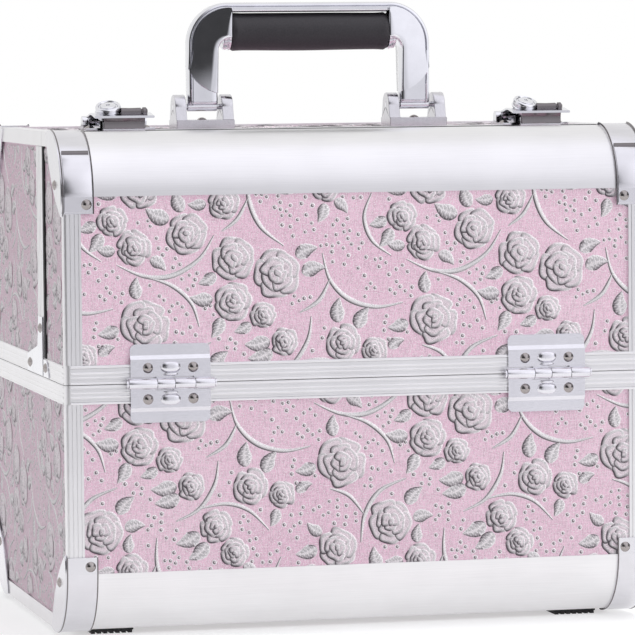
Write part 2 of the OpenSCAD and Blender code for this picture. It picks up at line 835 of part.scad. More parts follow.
// Bracket with two ears for one leg of the handle
module handle_bracket() {
  in = leg_w / 2 + ear_gap;
  color(chrome) translate([0, -handle_y, top_panel_z]) difference() {
    union() {
      span([-in - ear_t, -bracket_d / 2, 0], [in + ear_t, bracket_d / 2, bracket_base_t]);
      for (x = [-in - ear_t, in]) across(x, x + ear_t) {
        translate([0, handle_pivot_h]) circle(ear_r);
        polygon([[-bracket_d / 2, 0], [bracket_d / 2, 0], [ear_r, handle_pivot_h], [-ear_r, handle_pivot_h]]);
      }
    }
    translate([0, 0, handle_pivot_h]) rotate([0, 90, 0])
      cylinder(r = handle_pin_r, h = 4 * leg_w, center = true);
  }
}
module handle_brackets() {
  for (s = [-1, 1]) translate([s * leg_x, 0, 0]) handle_bracket();
}
module handle_pins() {
  pin_len = leg_w + 2 * ear_gap + 2 * ear_t;
  color(chrome) for (s = [-1, 1]) translate([s * leg_x, -handle_y, handle_axis_z])
    rotate([0, 90, 0]) cylinder(r = handle_pin_r, h = pin_len, center = true);
}

// ---- handle -----------------------------------------------------------------------------------

handle_top = top_z + handle_h;
bar_z = handle_top - handle_bar_t;
grip_z = bar_z - grip_r - 0.1;
grip_half = handle_w / 2 - leg_top_w;
armpit_z = grip_z - grip_r / 3;
ledge_z = handle_top - ledge_drop;

// Outline of the frame in (X, Z), with the window between its legs
module handle_outline() {
  foot_z = handle_axis_z + 1;
  leg_in = handle_w / 2 - leg_w;
  difference() {
    union() {
      round_rect([-handle_w / 2, ledge_z - ledge_r], [handle_w / 2, handle_top], handle_r);
      translate([-handle_w / 2, foot_z]) square([handle_w, ledge_z - foot_z]);
    }
    round_rect([-leg_in, handle_axis_z - 2 * armpit_r], [leg_in, armpit_z], armpit_r);
    translate([-grip_half, armpit_z - 1]) square([2 * grip_half, bar_z - armpit_z + 1]);
  }
}

// Space of the thick corner at +X: it thins towards the side and towards the ledge at its lower end
module handle_corner_space() {
  half_t = handle_corner_t / 2;
  half_rim = handle_rim_t / 2;
  side = handle_w / 2 + 1;
  over = handle_top + 1;
  intersection() {
    rotate([90, 0, 0]) linear_extrude(handle_corner_t + 1, center = true) {
      translate([handle_w / 2 - ledge_in, ledge_z]) circle(ledge_r);
      translate([grip_half, ledge_z]) square([side - grip_half, over - ledge_z]);
    }
    linear_extrude(over + 1)
      polygon([[grip_half, -half_t], [side, -half_rim], [side, half_rim], [grip_half, half_t]]);
    across(0, handle_w) polygon([
      [-half_rim, ledge_z - ledge_r - 1], [half_rim, ledge_z - ledge_r - 1], [half_t, ledge_z + 2],
      [half_t, over], [-half_t, over], [-half_t, ledge_z + 2]
    ]);
  }
}

// Frame: flat legs with their eyes, the thick corners, and the bar above the grip
module handle_frame() {
  eye_r = handle_pin_r + 0.9;
  bar_half = grip_half + 1;
  color(chrome) translate([0, -handle_y, 0]) difference() {
    union() {
      intersection() {
        rotate([90, 0, 0]) linear_extrude(handle_corner_t, center = true) handle_outline();
        union() {
          span([-handle_w, -handle_t / 2, 0], [handle_w, handle_t / 2, handle_top + 1]);
          span([-bar_half, -handle_bar_d / 2, bar_z - 1], [bar_half, handle_bar_d / 2, handle_top + 1]);
          left_and_right() handle_corner_space();
        }
      }
      for (s = [-1, 1]) translate([s * leg_x, 0, handle_axis_z]) rotate([0, 90, 0])
        cylinder(r = eye_r, h = leg_w, center = true);
    }
    translate([0, 0, handle_axis_z]) rotate([0, 90, 0])
      cylinder(r = handle_pin_r + pin_fit, h = 2 * handle_w, center = true);
  }
}

// Grip: a spindle with flared ends
module handle_grip() {
  flare = 0.8;
  half = grip_half - 0.05;
  color(black) translate([0, -handle_y, grip_z]) rotate([0, 90, 0]) rotate_extrude($fn = 64) polygon([
    [0, -half], [grip_r, -half], [grip_r, 3 - half], [grip_r - flare, 8 - half],
    [grip_r - flare / 2, -half / 2], [grip_r, 0], [grip_r - flare / 2, half / 2],
    [grip_r - flare, half - 8], [grip_r, half - 3], [grip_r, half], [0, half]
  ]);
}

// ---- latch levers --------------------------------------------------------------------------------

// Lever over the latch's body, with a hook at its front end, a lock barrel and a rolled bar
module latch_lever() {
  z0 = top_z + lever_h;
  hook_y = latch_front;
  color(chrome) difference() {
    union() {
      span([-lever_w / 2, hook_y, z0], [lever_w / 2, latch_axis_y, z0 + latch_t]);
      span([-lever_w / 2 + 3, hook_y, top_panel_z + 2], [lever_w / 2 - 3, hook_y + latch_t, z0 + 0.1]);
      translate([0, latch_axis_y, latch_axis_z]) rotate([0, 90, 0])
        cylinder(r = 2.6, h = lever_w, center = true);
      span([-lever_w / 2, latch_axis_y - 1.2, latch_axis_z], [lever_w / 2, latch_axis_y + 1.2, z0 + 0.1]);
      translate([-lever_w * 0.28, split_y + 8, z0]) rotate([30, 0, 0])
        translate([0, 0, -barrel_r * 0.15]) cylinder(r = barrel_r, h = 5.2);
      translate([lever_w * 0.18, split_y + 4, z0 + latch_t + bar_r - 0.3]) rotate([0, 90, 0])
        cylinder(r = bar_r, h = lever_w * 0.5, center = true);
    }
    translate([0, latch_axis_y, latch_axis_z]) rotate([0, 90, 0])
      cylinder(r = latch_pin_r + pin_fit, h = 2 * lever_w, center = true);
    span([-lever_w, hook_y + latch_t + 0.1, 0], [lever_w, latch_axis_y - 3, z0]);
  }
}
module left_latch_lever() {
  translate([-latch_x, 0, 0]) latch_lever();
}
module right_latch_lever() {
  translate([latch_x, 0, 0]) latch_lever();
}

// ---- trays and arms ---------------------------------------------------------------------------------

// Pair of arms between two (outward, height) points, with a bore at each listed point
module arms(p, q, bores) {
  color(chrome) left_and_right() across(arm_in, arm_out) mirror([1, 0]) difference() {
    bar_2d(p, q, arm_r);
    for (b = bores) translate(b) circle(tray_pin_r + pin_fit);
  }
}
module long_arms() {
  arms(long_base, upper_a, [long_base, lower_a, upper_a]);
}
module short_arms() {
  arms(short_base, lower_b, [short_base, lower_b]);
}

// Headed pins on a tray's ends that carry it on its arms
module tray_pins(points) {
  color(chrome) left_and_right() for (p = points)
    translate([0, -p[0], p[1]]) rotate([0, 90, 0]) {
      translate([0, 0, tray_x]) cylinder(r = pin_head_r, h = arm_in - layer_gap - tray_x);
      translate([0, 0, tray_x]) cylinder(r = tray_pin_r, h = arm_out + layer_gap - tray_x);
      translate([0, 0, arm_out + layer_gap]) cylinder(r = pin_head_r, h = head_t);
    }
}

// Open tray at the front, with dividers that make equal cells
module tray(outer_u, z0, cells) {
  cell = (2 * tray_x - (cells + 1) * tray_t) / cells;
  color(black) difference() {
    translate([0, 0, z0]) linear_extrude(tray_h)
      round_rect([-tray_x, -outer_u], [tray_x, -tray_mid_gap], tray_r);
    for (i = [0 : cells - 1]) {
      x0 = -tray_x + tray_t + i * (cell + tray_t);
      translate([0, 0, z0 + tray_t]) linear_extrude(tray_h)
        round_rect([x0, -outer_u + tray_t], [x0 + cell, -tray_mid_gap - tray_t], tray_r - tray_t);
    }
  }
}
module lower_tray() {
  tray(hd - lower_inset, lower_a[1] - tray_pivot_h, 2);
}

// Upper tray, with a hole at each end for the lid's pin
module upper_tray() {
  difference() {
    tray(hd - upper_inset, upper_a[1] - tray_pivot_h, 3);
    translate([0, -lid_pivot[0], lid_pivot[1]]) rotate([0, 90, 0])
      cylinder(r = tray_pin_r + free_fit, h = case_w, center = true);
  }
}

module front_long_arms() {
  long_arms();
}
module front_short_arms() {
  short_arms();
}
module front_lower_tray() {
  lower_tray();
}
module front_lower_tray_pins() {
  tray_pins([lower_a, lower_b]);
}
module front_upper_tray() {
  upper_tray();
}
module front_upper_tray_pins() {
  tray_pins([upper_a]);
}
module rear_long_arms() {
  mirror([0, 1, 0]) long_arms();
}
module rear_short_arms() {
  mirror([0, 1, 0]) short_arms();
}
module rear_lower_tray() {
  mirror([0, 1, 0]) lower_tray();
}
module rear_lower_tray_pins() {
  mirror([0, 1, 0]) tray_pins([lower_a, lower_b]);
}
module rear_upper_tray() {
  mirror([0, 1, 0]) upper_tray();
}
module rear_upper_tray_pins() {
  mirror([0, 1, 0]) tray_pins([upper_a]);
}

base_front_panel();
base_rear_panel();
base_side_panels();
base_floor_panel();
base_edge_rolls();
base_edge_profiles();
base_seam_band();
base_corner_caps();
base_rivets();
base_lining();
base_hinge_leaves();
hinge_pins();
base_arm_pivots();
feet();
front_lid_front_panel();
front_lid_top_panel();
front_lid_side_panels();
front_lid_roll();
front_lid_edge_profiles();
front_lid_edge_seal();
front_lid_seam_band();
front_lid_corner_caps();
front_lid_rivets();
front_lid_seam_plates();
front_lid_hinge_leaves();
front_lid_latch_catches();
front_lid_lining();
front_lid_tray_pins();
rear_lid_rear_panel();
rear_lid_top_panel();
rear_lid_side_panels();
rear_lid_roll();
rear_lid_edge_profiles();
rear_lid_seam_band();
rear_lid_corner_caps();
rear_lid_rivets();
rear_lid_seam_plates();
rear_lid_hinge_leaves();
rear_lid_latch_bases();
rear_lid_lining();
rear_lid_tray_pins();
handle_brackets();
handle_pins();
handle_frame();
handle_grip();
left_latch_lever();
right_latch_lever();
front_long_arms();
front_short_arms();
front_lower_tray();
front_lower_tray_pins();
front_upper_tray();
front_upper_tray_pins();
rear_long_arms();
rear_short_arms();
rear_lower_tray();
rear_lower_tray_pins();
rear_upper_tray();
rear_upper_tray_pins();
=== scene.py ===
"""Looks of the makeup storage case: embossed covering, aluminium, chrome, grip, lining and trays.

Lengths are millimetres unless a name says otherwise, and are turned into metres where a mesh
or a lamp is made. X runs along the front, -Y is the front and Z is up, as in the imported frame.
"""

import math
import random

import bmesh
import bpy
from mathutils import Matrix, Vector


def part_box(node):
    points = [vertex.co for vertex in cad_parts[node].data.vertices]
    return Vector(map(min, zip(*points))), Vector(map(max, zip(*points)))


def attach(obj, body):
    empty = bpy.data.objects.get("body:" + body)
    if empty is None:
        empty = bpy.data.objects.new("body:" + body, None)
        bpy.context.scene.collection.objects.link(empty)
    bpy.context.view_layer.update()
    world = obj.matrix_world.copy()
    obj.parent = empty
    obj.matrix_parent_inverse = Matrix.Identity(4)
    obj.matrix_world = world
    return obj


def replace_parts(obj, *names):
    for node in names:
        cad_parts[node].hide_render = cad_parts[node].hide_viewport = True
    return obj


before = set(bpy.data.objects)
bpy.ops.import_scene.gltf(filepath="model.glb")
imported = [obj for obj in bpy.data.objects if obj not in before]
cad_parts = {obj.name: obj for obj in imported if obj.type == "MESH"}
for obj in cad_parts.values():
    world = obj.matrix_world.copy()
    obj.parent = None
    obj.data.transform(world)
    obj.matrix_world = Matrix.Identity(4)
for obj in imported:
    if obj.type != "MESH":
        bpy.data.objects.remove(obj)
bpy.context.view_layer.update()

MM = 0.001

# Sizes that the frame's boxes don't give
POST_W = 9.4
RAIL_H = 7.6
RAIL_FLANGE = 10.0
BOARD_R = 26.8
EDGE_PROFILE_W = 17.0


# ---- helpers ----


def box_mm(node):
    """Lowest and highest corner of a CAD node at rest, in millimetres."""
    low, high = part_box(node)
    return low / MM, high / MM


def new_piece(name, body, material, verts, faces):
    """A smooth mesh piece from millimetre corners, riding on a body."""
    mesh = bpy.data.meshes.new(name)
    mesh.from_pydata([Vector(v) * MM for v in verts], [], faces)
    mesh.validate()
    mesh.polygons.foreach_set("use_smooth", [True] * len(mesh.polygons))
    mesh.materials.append(material)
    piece = bpy.data.objects.new(name, mesh)
    bpy.context.scene.collection.objects.link(piece)
    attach(piece, body)
    return piece


def clamped(value, low=0.0, high=1.0):
    return max(low, min(high, value))


def shares(steps):
    """0 to 1 in equal steps."""
    return [i / steps for i in range(steps + 1)]


def around(sides):
    """The angle of each corner of a ring, with its cosine and sine."""
    turns = [2.0 * math.pi * k / sides for k in range(sides)]
    return [(turn, math.cos(turn), math.sin(turn)) for turn in turns]


def squarish(cu, cv, power):
    """Reach of a rounded rectangle in the direction (cu, cv). A power of 2 makes it a circle."""
    return 1.0 / (abs(cu) ** power + abs(cv) ** power) ** (1 / power)


# ---- shader nodes ----

NOISE_ROUGHNESS = 0.55


class Graph:
    """Shader nodes of one material or world, built by short calls."""

    def __init__(self, owner):
        owner.use_nodes = True
        self.tree = owner.node_tree
        self.tree.nodes.clear()

    def fill(self, socket, value):
        """Gives a socket a link, a plain colour or a plain value."""
        if isinstance(value, bpy.types.NodeSocket):
            self.tree.links.new(value, socket)
        elif socket.type == "RGBA":
            socket.default_value = (*value, 1.0)
        else:
            socket.default_value = value

    def add(self, kind, inputs=(), **settings):
        """A node with its settings; inputs gives its sockets by name or number."""
        node = self.tree.nodes.new(kind)
        for key, value in settings.items():
            setattr(node, key, value)
        for key, value in dict(inputs).items():
            self.fill(node.inputs[key], value)
        return node

    def ramp(self, value, stops):
        """Colour ramp; each stop is a position with a grey or a colour."""
        node = self.add("ShaderNodeValToRGB", {"Fac": value})
        elements = node.color_ramp.elements
        while len(elements) < len(stops):
            elements.new(0.5)
        for element, (position, colour) in zip(elements, stops):
            element.position = position
            rgb = colour if isinstance(colour, tuple) else (colour,) * 3
            element.color = (*rgb, 1.0)
        return node.outputs["Color"]

    def math(self, operation, *values):
        return self.add("ShaderNodeMath", enumerate(values), operation=operation).outputs[0]

    def mix(self, blend, factor, first, second):
        """Mixes two colours; each may be a socket or a plain colour."""
        sockets = {0: factor, 6: first, 7: second}
        return self.add("ShaderNodeMix", sockets, data_type="RGBA", blend_type=blend).outputs[2]


class Finish(Graph):
    """A procedural material round one Principled shader."""

    def __init__(self, name):
        self.material = bpy.data.materials.new(name)
        super().__init__(self.material)
        self.shader = self.add("ShaderNodeBsdfPrincipled")
        self.add("ShaderNodeOutputMaterial", {"Surface": self.shader.outputs["BSDF"]})
        self.place = self.add("ShaderNodeTexCoord").outputs["Object"]

    def set(self, **values):
        """Links and uniform values for the shader's own sockets."""
        for key, value in values.items():
            self.fill(self.shader.inputs[key.replace("_", " ")], value)

    def texture(self, kind, repeats, **inputs):
        """A texture node, with its size as repeats per metre along each axis."""
        mapping = self.add("ShaderNodeMapping", {"Vector": self.place, "Scale": repeats})
        return self.add(kind, {"Vector": mapping.outputs["Vector"], "Scale": 1.0, **inputs})

    def noise(self, repeats, detail=3.0):
        node = self.texture("ShaderNodeTexNoise", repeats, Detail=detail, Roughness=NOISE_ROUGHNESS)
        return node.outputs["Fac"]

    def cells(self, repeats):
        return self.texture("ShaderNodeTexVoronoi", repeats).outputs["Distance"]

    def blend(self, first, second):
        """Six parts of one value and four of another."""
        return self.math("ADD", self.math("MULTIPLY", first, 0.6), self.math("MULTIPLY", second, 0.4))

    def roughness(self, value, low, high):
        """Roughness between two values, following a noise."""
        span = self.add("ShaderNodeMapRange", {"Value": value, "To Min": low, "To Max": high})
        self.set(Roughness=span.outputs["Result"])

    def bump(self, height, depth, strength=0.8):
        """Bump from a height between 0 and 1, with its real depth in millimetres."""
        node = self.add("ShaderNodeBump", {"Height": height, "Strength": strength, "Distance": depth * MM})
        self.set(Normal=node.outputs["Normal"])


# ---- materials ----


def make_covering():
    """Pearly pink leatherette: an upright and a level weave, pale specks and soft cloudy shifts."""
    graph = Finish("covering")
    upright = graph.noise((1500, 1500, 260))
    level = graph.noise((260, 260, 1500))
    weave = graph.blend(upright, level)
    clouds = graph.noise((14, 14, 14))
    specks = graph.noise((1700, 1700, 1700), detail=2.0)
    base = graph.ramp(clouds, [(0.3, (0.80, 0.50, 0.65)), (0.7, (0.87, 0.60, 0.73))])
    threads = graph.ramp(weave, [(0.36, 0.78), (0.5, 1.0), (0.62, 1.14)])
    threaded = graph.mix("MULTIPLY", 0.9, base, threads)
    pale = graph.ramp(specks, [(0.49, 0.0), (0.64, 0.9)])
    graph.roughness(weave, 0.50, 0.38)
    graph.bump(weave, 0.06)
    graph.set(Base_Color=graph.mix("MIX", pale, threaded, (0.98, 0.88, 0.93)), Metallic=0.0,
              Coat_Weight=0.10, Coat_Roughness=0.35)
    return graph.material


# Colours of the silver print, from painted shade in its grooves to painted highlights on its ridges, and the
# pink of its print and of its painted highlight rims
SILVER_SHADE_TO_HIGHLIGHT = [(0.0, (0.035, 0.026, 0.034)), (0.2, (0.13, 0.11, 0.128)), (0.4, (0.37, 0.345, 0.365)),
          (0.6, (0.59, 0.565, 0.585)), (0.8, (0.79, 0.77, 0.785)), (1.0, (0.97, 0.93, 0.95))]
PINK_PRINT_AND_RIM_HIGHLIGHT = (0.95, 0.76, 0.85)


def make_foil():
    """Silver print on the embossed forms, with painted shade and painted highlights. The forms' corners carry
    its tone, which holds the painted shade and highlights, and its share of pink, which holds the print's
    pink and the painted highlight rims.
    """
    graph = Finish("foil")
    carried = graph.add("ShaderNodeAttribute", attribute_name="form").outputs["Vector"]
    tone, pink, _ = graph.add("ShaderNodeSeparateXYZ", {0: carried}).outputs
    # The tone ramp paints shade into the grooves and highlights onto the ridges; the pink adds the painted
    # highlight rims.
    colour = graph.mix("MIX", pink, graph.ramp(tone, SILVER_SHADE_TO_HIGHLIGHT), PINK_PRINT_AND_RIM_HIGHLIGHT)
    grain = graph.noise((2300, 2300, 2300), detail=2.0)
    speckles = graph.ramp(grain, [(0.34, 0.72), (0.5, 1.0), (0.66, 1.30)])
    graph.roughness(grain, 0.36, 0.52)
    graph.bump(grain, 0.05)
    graph.set(Base_Color=graph.mix("MULTIPLY", 0.9, colour, speckles), Metallic=0.25)
    return graph.material


def make_metal(name, tint, rough, stretch, depth, anisotropic=0.0):
    """Metal with a brushed or polished finish; stretch is the noise's repeats per metre."""
    graph = Finish(name)
    lines = graph.noise(stretch, detail=4.0)
    clouds = graph.noise((35, 35, 35), detail=2.0)
    darker = tuple(0.93 * c for c in tint)
    graph.roughness(lines, *rough)
    graph.bump(lines, depth, strength=0.5)
    graph.set(Base_Color=graph.ramp(graph.blend(lines, clouds), [(0.35, darker), (0.6, tint)]),
              Metallic=1.0, Anisotropic=anisotropic)
    return graph.material


def make_soft(name, dark, light, repeats, rough, depth, **values):
    """Rubber, plastic or fabric: a fine grain between two close colours, repeats per metre."""
    graph = Finish(name)
    grain = graph.noise((repeats,) * 3)
    pits = graph.cells((1.7 * repeats,) * 3)
    graph.roughness(grain, *rough)
    graph.bump(graph.math("ADD", grain, graph.math("MULTIPLY", pits, 0.6)), depth)
    graph.set(Base_Color=graph.ramp(grain, [(0.3, dark), (0.7, light)]), Metallic=0.0, **values)
    return graph.material


COVERING = make_covering()
FOIL = make_foil()

SATIN_TINT = (0.86, 0.85, 0.86)
SATIN_ROUGH = (0.30, 0.42)
SATIN_X = make_metal("satin_aluminium_lengthwise", SATIN_TINT, SATIN_ROUGH, (40, 3600, 3600), 0.012, 0.35)
SATIN_Z = make_metal("satin_aluminium_upright", SATIN_TINT, SATIN_ROUGH, (3600, 3600, 40), 0.012, 0.35)
CHROME = make_metal("chrome", (0.80, 0.80, 0.83), (0.06, 0.14), (120, 120, 120), 0.01)
# Dark chrome: the darker metal of the latch hooks and tubes, and painted shade on the caps' edges and lips
DARK_CHROME_AND_SHADE = make_metal("dark_chrome_and_painted_shade", (0.20, 0.185, 0.19), (0.08, 0.18), (120, 120, 120), 0.01)
CAST_METAL = make_metal("satin_cast_metal", (0.66, 0.65, 0.68), (0.16, 0.26), (500, 500, 30), 0.004)
CAP_STEEL = make_metal("cap_steel", (0.74, 0.73, 0.76), (0.15, 0.25), (60, 400, 60), 0.003)
HINGE_STEEL = make_metal("hinge_steel", (0.78, 0.77, 0.81), (0.16, 0.26), (300, 1500, 1500), 0.01)
RIVET_STEEL = make_metal("rivet_steel", (0.38, 0.35, 0.34), (0.10, 0.20), (400, 400, 400), 0.01)

GRIP = make_soft("grip_leatherette", (0.016, 0.014, 0.018), (0.032, 0.028, 0.034), 1400,
                 (0.42, 0.58), 0.05, Coat_Weight=0.05, Coat_Roughness=0.5)
FOOT_RUBBER = make_soft("foot_rubber", (0.018, 0.018, 0.020), (0.035, 0.034, 0.036), 900,
                        (0.60, 0.80), 0.05)
# Near-black seal rubber, also painted shade: its blackness stands in for the shadow in the joint between the
# lids
SEAL_RUBBER_AND_GAP_SHADE = make_soft("seal_rubber", (0.006, 0.006, 0.007), (0.014, 0.013, 0.015), 700,
                        (0.60, 0.80), 0.04)
LINING = make_soft("lining_velvet", (0.050, 0.042, 0.052), (0.085, 0.074, 0.088), 2200,
                   (0.80, 0.95), 0.10, Sheen_Weight=0.35, Sheen_Roughness=0.5)
TRAY_PLASTIC = make_soft("tray_plastic", (0.040, 0.038, 0.042), (0.062, 0.059, 0.065), 1600,
                         (0.38, 0.52), 0.03)

# Material of a CAD node by a word of its name; the first that fits counts
BY_NODE_WORD = [
    ("seal", SEAL_RUBBER_AND_GAP_SHADE), ("panel", COVERING), ("roll", SATIN_X), ("seam_band", SATIN_X),
    ("edge_profiles", SATIN_Z), ("rivets", RIVET_STEEL), ("hinge", HINGE_STEEL), ("lining", LINING),
    ("grip", GRIP), ("feet", FOOT_RUBBER), ("brackets", CAST_METAL), ("caps", CAP_STEEL),
    ("tray_pins", CHROME), ("tray", TRAY_PLASTIC), ("", CHROME),
]
# Width of the rounded edges on the metal nodes, by a word of their names
EDGE_WIDTHS = [("brackets", 0.35), ("hinge_leaves", 0.25), ("caps", 0.25), ("plates", 0.25),
               ("latch", 0.25)]
WELD_WITHIN = 0.005
ROUNDED_ABOVE = math.radians(32.0)


def round_edges(node, width):
    """Rounds a node's edges, with modifiers alone."""
    weld = node.modifiers.new("joined_corners", "WELD")
    weld.merge_threshold = WELD_WITHIN * MM
    bevel = node.modifiers.new("round_edges", "BEVEL")
    bevel.width = width * MM
    bevel.segments = 3
    bevel.limit_method = "ANGLE"
    bevel.angle_limit = ROUNDED_ABOVE
    bevel.harden_normals = True


def dress_cad_nodes():
    """Gives every CAD node the material that its name asks for, and the metal ones named in EDGE_WIDTHS round
    edges.
    """
    for name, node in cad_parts.items():
        material = next(m for word, m in BY_NODE_WORD if word in name)
        for slot in node.material_slots:
            slot.material = material
        for word, width in EDGE_WIDTHS:
            if word in name:
                round_edges(node, width)


# ---- ornament: forms in a plane, as (u, v, height) ----

RELIEF_H = 0.4
FILM_W = 150.0
FILM_H = 112.0
FILM_SEED = 41
# Direction in the film from which the painted shade and painted highlights of its forms are lit
LIGHT_SIDE = (0.88, 0.47)
# Columns of a ribbon: share of the half width, and height. The outermost two are its rim, painted pale pink
# as a highlight
SECTION = [(-1.0, 0.0), (-1.0, 0.45), (-0.72, 0.85), (-0.36, 1.0), (0.0, 1.0), (0.36, 1.0),
           (0.72, 0.85), (1.0, 0.45), (1.0, 0.0)]
RIM_W = 0.34
RIM_HIGHLIGHT_LOOK = (1.0, 0.55)


def facing(du, dv):
    """How far a direction in the film turns to its light, from -1 to 1."""
    size = math.hypot(du, dv)
    return (du * LIGHT_SIDE[0] + dv * LIGHT_SIDE[1]) / size if size else 0.0


class Relief:
    """Raised forms in a plane. Each corner carries the foil's tone, with its painted light and shade, and its
    share of pink.
    """

    def __init__(self):
        self.verts = []
        self.carried = []
        self.faces = []

    def sheet(self, rows, closed):
        """Rows of corners (u, v, height, tone, pink), joined by quads; closed joins each row's ends."""
        first = len(self.verts)
        n = len(rows[0])
        for row in rows:
            for u, v, height, tone, pink in row:
                self.verts.append((u, v, height))
                self.carried.append((tone, pink, 0.0))
        for i in range(len(rows) - 1):
            for j in range(n if closed else n - 1):
                a = first + i * n + j
                b = first + i * n + (j + 1) % n
                self.faces.append((a, a + n, b + n, b))

    def ribbon(self, stations, height, look):
        """A raised band through stations (u, v, side_u, side_v, half width).

        look(across, along, lit) gives the tone, with its painted light and shade, and the share of pink; the
        rim gets a painted highlight.
        """
        rows = []
        last = len(stations) - 1
        for i, (u, v, su, sv, half) in enumerate(stations):
            row = []
            for j, (across, level) in enumerate(SECTION):
                rim = j in (0, len(SECTION) - 1)
                reach = across * (half + (RIM_W if rim else 0.0))
                # The rim is a painted highlight; elsewhere look paints light and shade by the side that faces
                # the light.
                tone, pink = RIM_HIGHLIGHT_LOOK if rim else look(across, i / last, across * facing(su, sv))
                row.append((u + su * reach, v + sv * reach, height * level, tone, pink))
            rows.append(row)
        self.sheet(rows, closed=False)

    def stamp(self, form, u, v):
        """Adds a copy of another relief, moved by (u, v)."""
        first = len(self.verts)
        self.verts += [(fu + u, fv + v, height) for fu, fv, height in form.verts]
        self.carried += form.carried
        self.faces += [tuple(first + corner for corner in face) for face in form.faces]


def smooth_path(points, steps=8):
    """Catmull-Rom points through given points."""
    ends = [points[0], *points, points[-1]]
    path = []
    for p, q, r, s in zip(ends, ends[1:], ends[2:], ends[3:]):
        for i in range(steps):
            t = i / steps
            path.append(tuple(
                0.5 * (2 * b + (c - a) * t + (2 * a - 5 * b + 4 * c - d) * t * t
                       + (3 * b - a - 3 * c + d) * t ** 3)
                for a, b, c, d in zip(p, q, r, s)))
    path.append(tuple(points[-1]))
    return path


def path_stations(path, width_at):
    """Stations along a path of points; width_at gives the half width at 0 to 1 along it."""
    stations = []
    last = len(path) - 1
    for i, (u, v) in enumerate(path):
        before, after = path[max(i - 1, 0)], path[min(i + 1, last)]
        du, dv = after[0] - before[0], after[1] - before[1]
        size = math.hypot(du, dv)
        stations.append((u, v, dv / size, -du / size, width_at(i / last)))
    return stations


# A rose's rings from its outside in, as shares of its radius: reach of the petals' centres, half
# depth and half width of a petal, and the number of petals
ROSE_RINGS = [(0.62, 0.37, 0.56, 5), (0.38, 0.30, 0.47, 4), (0.20, 0.20, 0.33, 3), (0.03, 0.12, 0.19, 1)]
# Height of a rose's lowest petal, and of each petal over the one before it
PETAL_FOOT = 0.18
PETAL_STEP = 0.055
# A petal's squarish outline, how far it waves, and the length of its facets
PETAL_POWER = 2.4
PETAL_WAVE = 0.075
PETAL_FACET = 1.05
# Lines round a petal: distance outside its edge, height over its level, then tone and share of
# pink on the side away from the light, and tone and share of pink on the lit side. Their tones
# are painted light: painted shade, with a painted shadow just outside the edge away from the
# light, and painted pale pink highlights on the lit side
PETAL_LINES = [(0.42, -0.16, 0.03, 0.0, 1.0, 0.60), (0.06, -0.02, 0.10, 0.0, 1.0, 0.35),
               (-0.42, 0.02, 0.30, 0.0, 0.78, 0.0), (-1.0, 0.03, 0.58, 0.0, 0.66, 0.1),
               (-1.8, 0.03, 0.66, 0.45, 0.70, 0.5)]
# A petal's middle: its size, height over its level, tone, a little darker than the lines round it as painted
# shade, and share of pink
PETAL_HEART = (0.1, 0.04, 0.50, 0.4)


def add_petal(relief, place, deep, wide, turn, phase, level):
    """A wavy petal, with painted shade and painted highlights along its edge, a painted shadow just outside
    it, and plain inside but for a little painted shade at its middle.
    """
    edge = []
    for angle, cu, cv in around(max(14, int(math.pi * (deep + wide) / PETAL_FACET))):
        share = squarish(cu, cv, PETAL_POWER) * (1.0 + PETAL_WAVE * math.sin(4.0 * angle + phase))
        out, side = share * deep * cu, share * wide * cv
        edge.append((out * math.cos(turn) - side * math.sin(turn),
                     out * math.sin(turn) + side * math.cos(turn)))
    rows = []
    for offset, lift, dark, dark_pink, light, light_pink in PETAL_LINES:
        row = []
        for u, v in edge:
            reach = max(0.1, 1.0 + offset / math.hypot(u, v))
            lit = clamped(0.5 + 0.75 * facing(u, v))
            row.append((place[0] + u * reach, place[1] + v * reach, level + lift,
                        dark + (light - dark) * lit, dark_pink + (light_pink - dark_pink) * lit))
        rows.append(row)
    size, lift, tone, pink = PETAL_HEART
    rows.append([(place[0] + size * u, place[1] + size * v, level + lift, tone, pink) for u, v in edge])
    relief.sheet(rows, closed=True)


def add_rose(relief, radius, turn, dice):
    """A stylised open rose: overlapping wavy petals that step up towards its heart."""
    level = PETAL_FOOT
    for ring, (reach, deep, wide, count) in enumerate(ROSE_RINGS):
        start = turn + 1.9 * ring
        for k in range(count):
            angle = start + 2.0 * math.pi * (k + dice.uniform(-0.13, 0.13)) / count
            out = radius * reach * dice.uniform(0.94, 1.05)
            add_petal(relief, (out * math.cos(angle), out * math.sin(angle)),
                      radius * deep * dice.uniform(0.90, 1.10), radius * wide * dice.uniform(0.88, 1.12),
                      angle + dice.uniform(-0.2, 0.2), dice.uniform(0.0, 6.0), level)
            level += PETAL_STEP


# Greatest half width of a leaf as a share of its length, its bend, its veins, and their width
LEAF_WIDE = 0.33
LEAF_BEND = 0.10
LEAF_VEINS = 6.0
VEIN_W = 0.24
MIDRIB_W = 0.1


def leaf_look(across, along, lit):
    """Pale veins and midrib on a grey leaf, with painted shade on its side away from the light and a painted
    highlight along its lit side.
    """
    slant = (LEAF_VEINS * along - 1.7 * abs(across)) % 1.0
    vein = 1.0 if slant < VEIN_W or abs(across) < MIDRIB_W else 0.0
    shade = clamped(abs(across) - 0.6) * (1.2 if lit < 0.0 else -0.6)
    return clamped(0.50 + 0.14 * lit + 0.34 * vein - shade), 0.15 * vein


def stem_look(across, along, lit):
    """Painted light on a round stem: a pale ridge between edges in painted shade, the darkest on the side
    away from the light.
    """
    return clamped(0.80 - 0.42 * across * across + 0.55 * lit), 0.0


